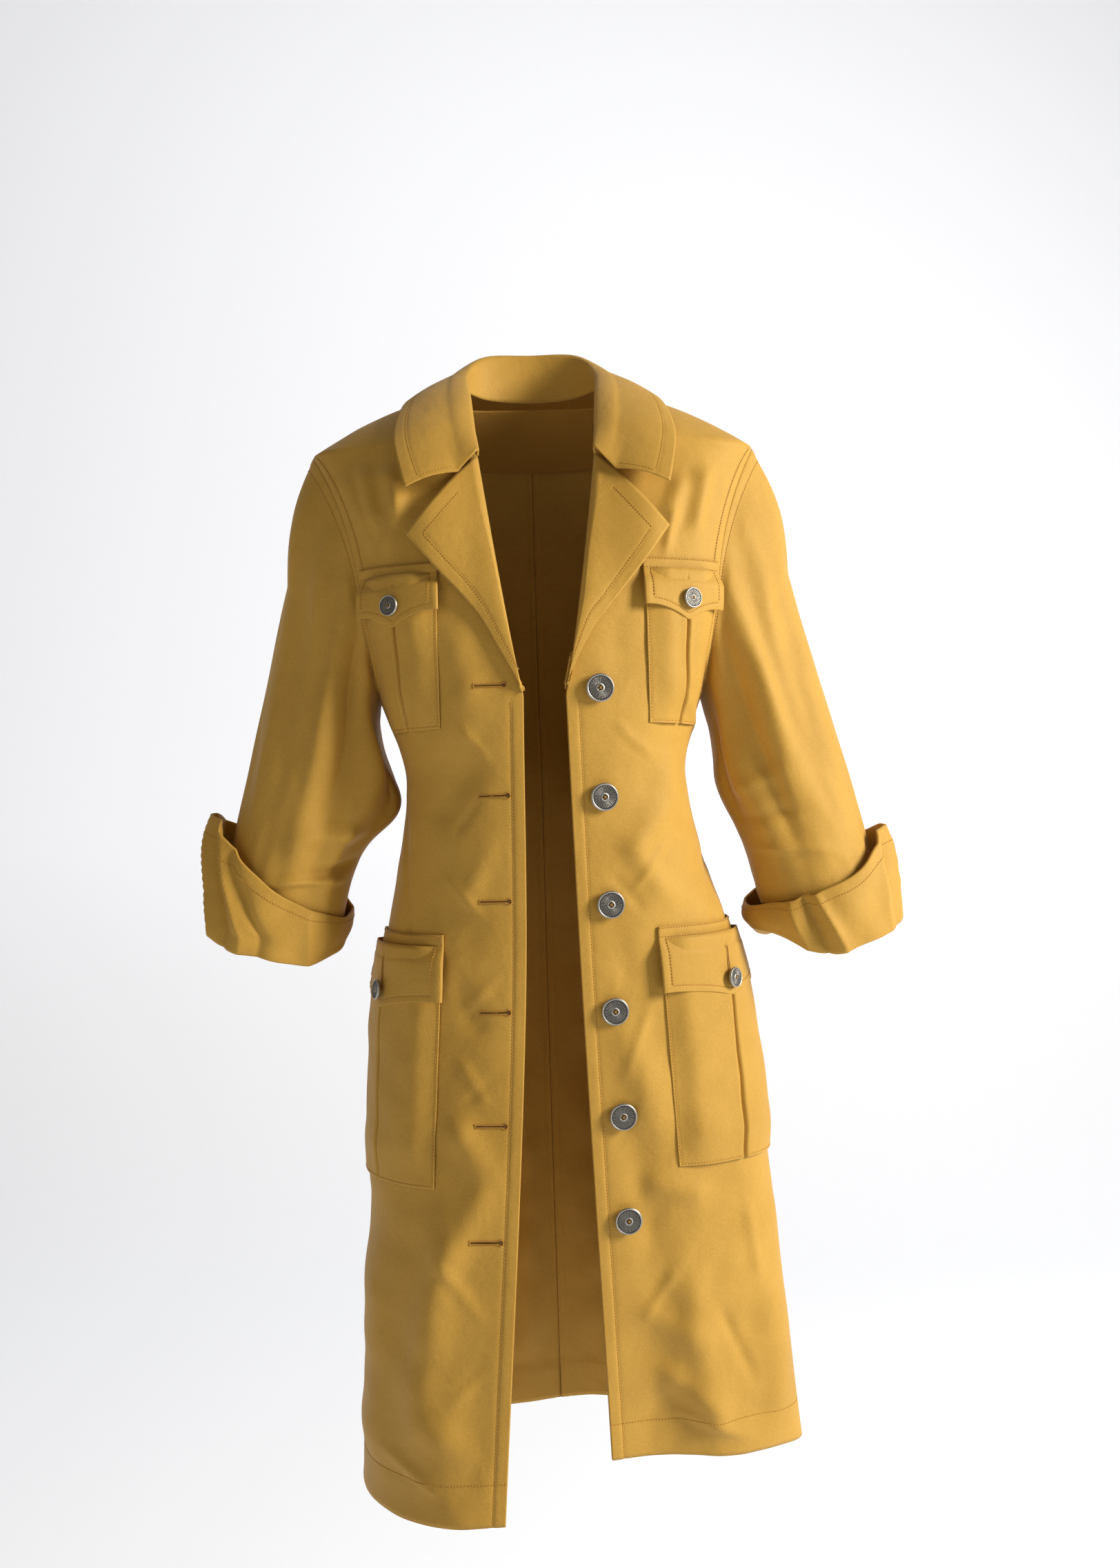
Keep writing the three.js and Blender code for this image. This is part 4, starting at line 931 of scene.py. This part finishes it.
def welded(name, points, faces, slots, *materials):
    """A mesh object with doubled points joined and empty faces dropped."""
    made = mesh_object(name, points, faces, *materials, slots=slots)
    work = bmesh.new()
    work.from_mesh(made.data)
    bmesh.ops.remove_doubles(work, verts=work.verts, dist=1e-6)
    bmesh.ops.recalc_face_normals(work, faces=work.faces)
    work.to_mesh(made.data)
    work.free()
    return made


def sewn_on(name, radius, thickness, flutes):
    """A finished button on its shank, where the part has it."""
    low, high = (np.array(corner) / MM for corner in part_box(name))
    centre = (low + high) / 2
    side = 1 if centre[0] > 0 else -1
    z = np.array([[centre[2] + 6, centre[2] + 6], [centre[2] - 6, centre[2] - 6]])
    angle = np.arccos(np.clip(abs(centre[0]) / (half_width(side, z) + 8), 0, 1) ** (1 / squareness))
    angle = angle + np.array([0.03, -0.03])
    n = outward(skin(side, -1, angle, z)).mean((0, 1))
    n /= np.linalg.norm(n)
    turn = Vector(n).to_track_quat("Z", "Y").to_matrix()
    points, faces, slots = cast_button(radius, thickness, flutes)
    points = (points - [0, 0, thickness / 2]) @ np.array(turn).T + centre
    button = welded(f"{name}_casting", points, faces, slots, silver, patina)
    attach(button, "root")
    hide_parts(name, f"{name}_thread")
    hole, top = hole_share * radius, thickness / 2 - 0.55
    ends = np.array([[(hole + shift, way * hole, top), (-hole + shift, -way * hole, top)]
                     for way in (1, -1) for shift in (-0.2, 0, 0.2)])
    threads = spindles(ends[:, 0], ends[:, 1], np.tile([0, 0, 1.0], (6, 1)), 0.2)
    wound = []
    for k in range(9):
        t = np.linspace(0, 2 * np.pi, 9)[:-1]
        ring = np.stack([1.7 * np.cos(t), 1.7 * np.sin(t), -thickness / 2 - 0.2 - k * 0.55 + 0 * t], 1)
        wound.append(spindles(ring, np.roll(ring, -1, 0), ring * [1, 1, 0] / 1.7, 0.42))
    rows = [(p @ np.array(turn).T + centre, f) for p, f in [threads] + wound]
    sewing = stitching(f"{name}_sewing", rows)
    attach(sewing, "root")


button_thickness = 3.6
for count in range(6):
    sewn_on(f"button_{count + 1}", 13.5, button_thickness, 40)
for word in SIDES.values():
    for kind in pockets:
        sewn_on(f"{kind}_pocket_button_{word}", 10, button_thickness, 30)

# ---- Sleeves -------------------------------------------------------------------------------------
# Full two-piece sleeves in twill, eased into a flat-felled armhole seam over the shoulder pad. They hang in
# long soft folds from the armpit, crumple at the elbow and end in the rolled cuff.

arm_tilt = math.radians(14)
wrist_of = {-1: np.array([-268.0, -6, -500]), 1: np.array([279.0, -6, -500])}
wrist_width, wrist_depth = 62, 52      # half across and half front to back
armhole_middle = (heights[1] + heights[3]) / 2
armhole_radius = (heights[1] - heights[3]) / 2


def arm_axes(side):
    """Directions outwards from the body and down the arm."""
    outwards = np.array([side * math.cos(arm_tilt), 0, math.sin(arm_tilt)])
    return outwards, np.array([side * math.sin(arm_tilt), 0, -math.cos(arm_tilt)])


def arm_ring(side, turn, down, width, depth):
    """Points of an oval round the arm: turn 0 is the outer side and a right angle the front."""
    outwards, along_arm = arm_axes(side)
    turn, down = np.broadcast_arrays(turn, down)
    return (wrist_of[side] + outwards * (width * np.cos(turn))[..., None] + along_arm * down[..., None]
            - np.array([0, 1, 0]) * (depth * np.sin(turn))[..., None])


def ring_normals(grid, rows=None):
    """Normals of a closed grid, turned away from the middle of its first rows, or of all."""
    n = normals(grid, True)
    away = n * (grid - grid.mean(1, keepdims=True))
    return n if away[:rows].sum() > 0 else -n


def sewn_round(grid, n, row):
    """A closed row of stitches round the arm."""
    line, out = (np.concatenate([values[row], values[row, :1]]) for values in (grid, n))
    return stitch_points(line + out * 0.1, out)


# each fold of a sleeve: degrees round the arm and share down it at both ends, width in degrees, height in mm
sleeve_folds = {
    -1: [(60, 0.02, 72, 0.5, 9, 4), (88, 0.03, 96, 0.75, 9, 6), (112, 0.05, 118, 0.8, 9, -9),
         (134, 0.1, 132, 0.9, 11, 8), (158, 0.15, 160, 0.7, 12, -6), (30, 0.1, 46, 0.8, 14, 3),
         (150, 0.62, 96, 0.82, 12, 6), (168, 0.74, 110, 0.92, 11, -6), (150, 0.85, 70, 0.97, 10, 5),
         (250, 0.1, 262, 0.9, 16, 6), (300, 0.1, 290, 0.9, 14, -4), (215, 0.3, 230, 0.95, 14, 5)],
    1: [(60, 0.02, 66, 0.5, 9, 4), (90, 0.03, 84, 0.7, 10, 6), (116, 0.04, 106, 0.9, 10, -7),
        (140, 0.1, 130, 0.8, 11, 7), (162, 0.12, 160, 0.7, 12, -5), (34, 0.1, 44, 0.85, 14, 3),
        (150, 0.5, 92, 0.66, 12, 2.5), (160, 0.62, 84, 0.78, 11, -2.5), (156, 0.76, 74, 0.92, 11, 3),
        (250, 0.1, 262, 0.9, 16, 6), (300, 0.1, 290, 0.9, 14, -4), (215, 0.3, 230, 0.95, 14, 5)],
}
for side, word in SIDES.items():
    around, down = 168, np.concatenate([np.linspace(0, 0.06, 9), np.linspace(0.07, 1.02, 112)])
    turn, t = np.meshgrid(2 * np.pi * np.arange(around) / around, down)
    z = armhole_middle + armhole_radius * np.cos(turn)
    front_hole, back_hole = (skin(side, way, armhole_angle(z), z) for way in (-1, 1))
    hole = np.where((np.sin(turn) >= 0)[..., None], front_hole, back_hole)
    end = arm_ring(side, turn, 0 * t, wrist_width, wrist_depth)
    outwards, along_arm = arm_axes(side)
    puff = 10 * np.sin(math.pi * np.clip(t / 0.3, 0, 1)) * np.clip(np.cos(turn), 0, None)
    # the elbow bags inwards, towards the waist
    bag = (38 if side < 0 else 9) * bump(t, 0.46, 0.2) * np.clip(-np.cos(turn), 0, None) ** 1.3
    grid = hole + (end - hole) * t[..., None] + outwards * (puff - bag)[..., None]
    grid[..., 1] += 20 * bump(t, 0.4, 0.28) * bump(np.degrees(turn), 142, 26)
    n = ring_normals(grid)
    degrees = np.degrees(turn)
    out = 0 * t
    for a0, t0, a1, t1, spread, tall in sleeve_folds[side]:
        share = np.clip((t - t0) / (t1 - t0), 0, 1)
        out += (tall * bump(degrees, a0 + (a1 - a0) * share, spread)
                * bump((t - (t0 + t1) / 2) / (t1 - t0), 0, 0.42))
    out = 1.35 * out + 0.8 * crumple(200 * np.sin(turn / 2) ** 2 + 90 * np.sin(turn), t * 210, side + 1.5)
    out *= smooth((t - 0.01) / 0.07) * smooth((1.02 - t) / 0.06)
    out += 0.9 * smooth((0.026 - t) / 0.006)
    out -= 0.4 * bump(t, 0.022, 0.003)
    grid = grid + n * out[..., None]
    n = ring_normals(grid)
    sleeve = cloth(f"sleeve_{word}_cloth", grid, n, 1.2, twill, ring=True)
    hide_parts(f"sleeve_{word}", f"sleeve_cap_{word}")
    seam = stitching(f"sleeve_{word}_seam_stitching", [sewn_round(grid, n, 4)])
    start = np.array([side * 0.204, 0, -0.170])
    end = start + np.array([side * 0.96, 0, -0.28]) * 0.10
    for piece in (sleeve, seam):
        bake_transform(piece)

# ---- Rolled cuffs --------------------------------------------------------------------------------
# The end of each sleeve is rolled up twice. The roll is thick and uneven, higher on the outside of the arm,
# with pinched pleats where the slack is taken up and the hem's raw fold showing at the inner side.

# how far the roll's top and bottom lie down the arm at degrees round it, and its reach past the sleeve
cuff_turns = [0, 20, 45, 65, 90, 110, 130, 150, 165, 180, 215, 260, 300, 330, 360]
cuff_top = {-1: [-74, -68, -44, -28, -10, -4, 0, 2, 2, 0, -14, -34, -52, -66, -74],
            1: [-42, -38, -18, -3, 1, 3, 4, 2, 2, 0, -8, -16, -26, -36, -42]}
cuff_low = {-1: [22, 34, 48, 54, 58, 58, 52, 40, 32, 32, 42, 46, 40, 28, 22],
            1: [46, 56, 64, 69, 67, 62, 44, 34, 30, 30, 38, 44, 46, 44, 46]}
cuff_reach = {-1: [22, 21, 17, 13, 9, 7, 5, 6, 8, 9, 10, 12, 14, 18, 22],
              1: [20, 19, 15, 12, 12, 12, 14, 20, 30, 32, 20, 13, 14, 17, 20]}
# pinched pleats: degrees and share down the roll at both ends, width in degrees, height in mm
cuff_pleats = {-1: [(4, 0.0, 34, 0.9, 6, 6), (18, 0.0, 52, 0.8, 5, -6), (30, 0.0, 68, 0.8, 6, 5),
                    (46, 0.1, 84, 0.7, 6, -4), (120, 0.2, 128, 1.0, 7, 3), (200, 0.1, 220, 0.9, 9, 5),
                    (262, 0.0, 250, 0.9, 9, 5), (310, 0.0, 300, 0.9, 9, -5), (338, 0, 330, 0.9, 7, 5)],
               1: [(6, 0.0, 14, 0.8, 6, 5), (20, 0.0, 30, 0.8, 6, -5), (34, 0.1, 44, 0.7, 6, 3),
                   (104, 0.0, 92, 0.9, 5, 5), (114, 0.0, 106, 0.9, 4, -6), (126, 0.1, 122, 0.9, 6, 5),
                   (200, 0.1, 220, 0.9, 9, 5), (262, 0.0, 250, 0.9, 9, 5), (310, 0.0, 300, 0.9, 9, -5)]}
for side, word in SIDES.items():
    around = 180
    wrap = np.concatenate([np.linspace(0, 0.1, 7), np.linspace(0.1, 0.6, 34)[1:],
                           np.linspace(0.6, 0.8, 14)[1:], np.linspace(0.8, 1, 14)[1:]])
    turn, w = np.meshgrid(2 * np.pi * np.arange(around) / around, wrap)
    degrees = np.degrees(turn)
    ring_of = lambda values: np.interp(degrees, np.arange(0, 361), np.convolve(np.interp(
        np.arange(-12, 373), cuff_turns, values), np.ones(25) / 25, "valid"))
    top, low, reach = (ring_of(values[side]) for values in (cuff_top, cuff_low, cuff_reach))
    # the roll runs from its top edge down the outside, round the bottom fold and up inside the sleeve's end
    outer_share = np.clip(w / 0.6, 0, 1)
    inner_share = np.clip((w - 0.6) / 0.4, 0, 1)
    down = top + (low - top) * outer_share - (low + 6) * 0.72 * smooth(inner_share)
    thick = 9 * np.sin(math.pi * np.clip(outer_share * 0.86 + 0.08, 0, 1)) ** 0.7
    bend = np.sin(math.pi / 2 * np.clip(inner_share / 0.4, 0, 1))
    stand = (reach * 0.35 + thick * (0.45 + reach / 40)) * (1 - bend) + bend * -5.5
    stand += (1 - bend) * smooth((outer_share - 0.75) / 0.25) * 1.5
    upwards = np.clip(-down, 0, None)
    out = 0 * w
    for a0, s0, a1, s1, spread, tall in cuff_pleats[side]:
        share = np.clip((outer_share - s0) / (s1 - s0), 0, 1)
        crest = np.exp(-np.abs((degrees - a0 - (a1 - a0) * share) / spread) ** 1.25)
        out += 1.35 * tall * crest * bump(outer_share, (s0 + s1) / 2, 0.6)
    out += 1.1 * np.sin(degrees / 7) * np.sin(outer_share * 5 + degrees / 29)
    stand += out * (1 - bend)
    down = down + 3.5 * np.sin(degrees / 17 + side) * outer_share * (1 - bend) + 0.35 * out
    grid = arm_ring(side, turn, down, wrist_width + stand + 0.19 * upwards,
                    wrist_depth + stand + 0.14 * upwards)
    n = ring_normals(grid, 20)
    cuff = cloth(f"rolled_cuff_{word}_cloth", grid, n, 2.6, twill, ring=True)
    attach(cuff, f"sleeve_body_{word}")
    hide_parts(f"rolled_cuff_{word}")
    cuff_stitches = stitching(f"rolled_cuff_{word}_hem_stitching", [sewn_round(grid, n, 6)])
    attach(cuff_stitches, f"sleeve_body_{word}")

# ---- Shoulder pads -------------------------------------------------------------------------------
# Thin crescent pads of polyester wadding covered in a knit, tacked inside each shoulder. They hold the
# shoulder out square and show only from below.

# needled polyester wadding under a fine knit: very matt, off-white, slightly fuzzy
wadding, tree, output = new_material("off-white polyester wadding")
place = add_node(tree, "ShaderNodeTexCoord").outputs["Object"]
fluff = add_node(tree, "ShaderNodeTexNoise", {"Vector": place, "Scale": 260.0, "Detail": 4.0})
shade = add_node(tree, "ShaderNodeMix", {0: fluff.outputs[0], 6: linear("#CDBE9C"), 7: linear("#E2D6BA")},
                 data_type="RGBA")
fuzz = add_node(tree, "ShaderNodeBump", {"Height": fluff.outputs[0], "Distance": 0.0012, "Strength": 0.5})
wadding_shader = add_node(tree, "ShaderNodeBsdfPrincipled", {"Base Color": shade.outputs[2],
                          "Roughness": 0.95, "Sheen Weight": 0.3, "Normal": fuzz.outputs[0]})
tree.links.new(wadding_shader.outputs[0], output.inputs[0])

for side, word in SIDES.items():
    around, rings = 64, 18
    turn, latitude = np.meshgrid(2 * np.pi * np.arange(around) / around, np.pi * np.arange(1, rings) / rings)
    r = np.sin(latitude) ** 0.75
    # a crescent: full towards the armhole, feathered towards the neck
    x = 50 * r * np.cos(turn)
    y = 44 * r * np.sin(turn) * (1 - 0.12 * np.cos(turn))
    z = 8 * np.cos(latitude) * (0.62 + 0.38 * np.cos(turn)) + 0.25 * np.sin(turn * 9) * r - 0.0022 * y**2
    points = np.concatenate([[[0, 0, 6]], np.stack([x, y, z], -1).reshape(-1, 3), [[0, 0, -6]]])
    a = 1 + np.arange(around * (rings - 1)).reshape(rings - 1, around)
    b = np.roll(a, -1, 1)
    faces = [(0, i, j) for i, j in zip(a[0].tolist(), b[0].tolist())]
    faces += [(len(points) - 1, j, i) for i, j in zip(a[-1].tolist(), b[-1].tolist())]
    faces += np.stack([a[:-1], a[1:], b[1:], b[:-1]], -1).reshape(-1, 4).tolist()
    tilt = np.array(Matrix.Rotation(0.26 * side, 3, "Y"))
    points = points * [side, 1, 1] @ tilt.T + [side * 162, shoulder_line + 4, -54]
    pad = mesh_object(f"shoulder_pad_{word}_wadding", points, faces, wadding)
    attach(pad, "root")
    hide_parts(f"shoulder_pad_{word}")
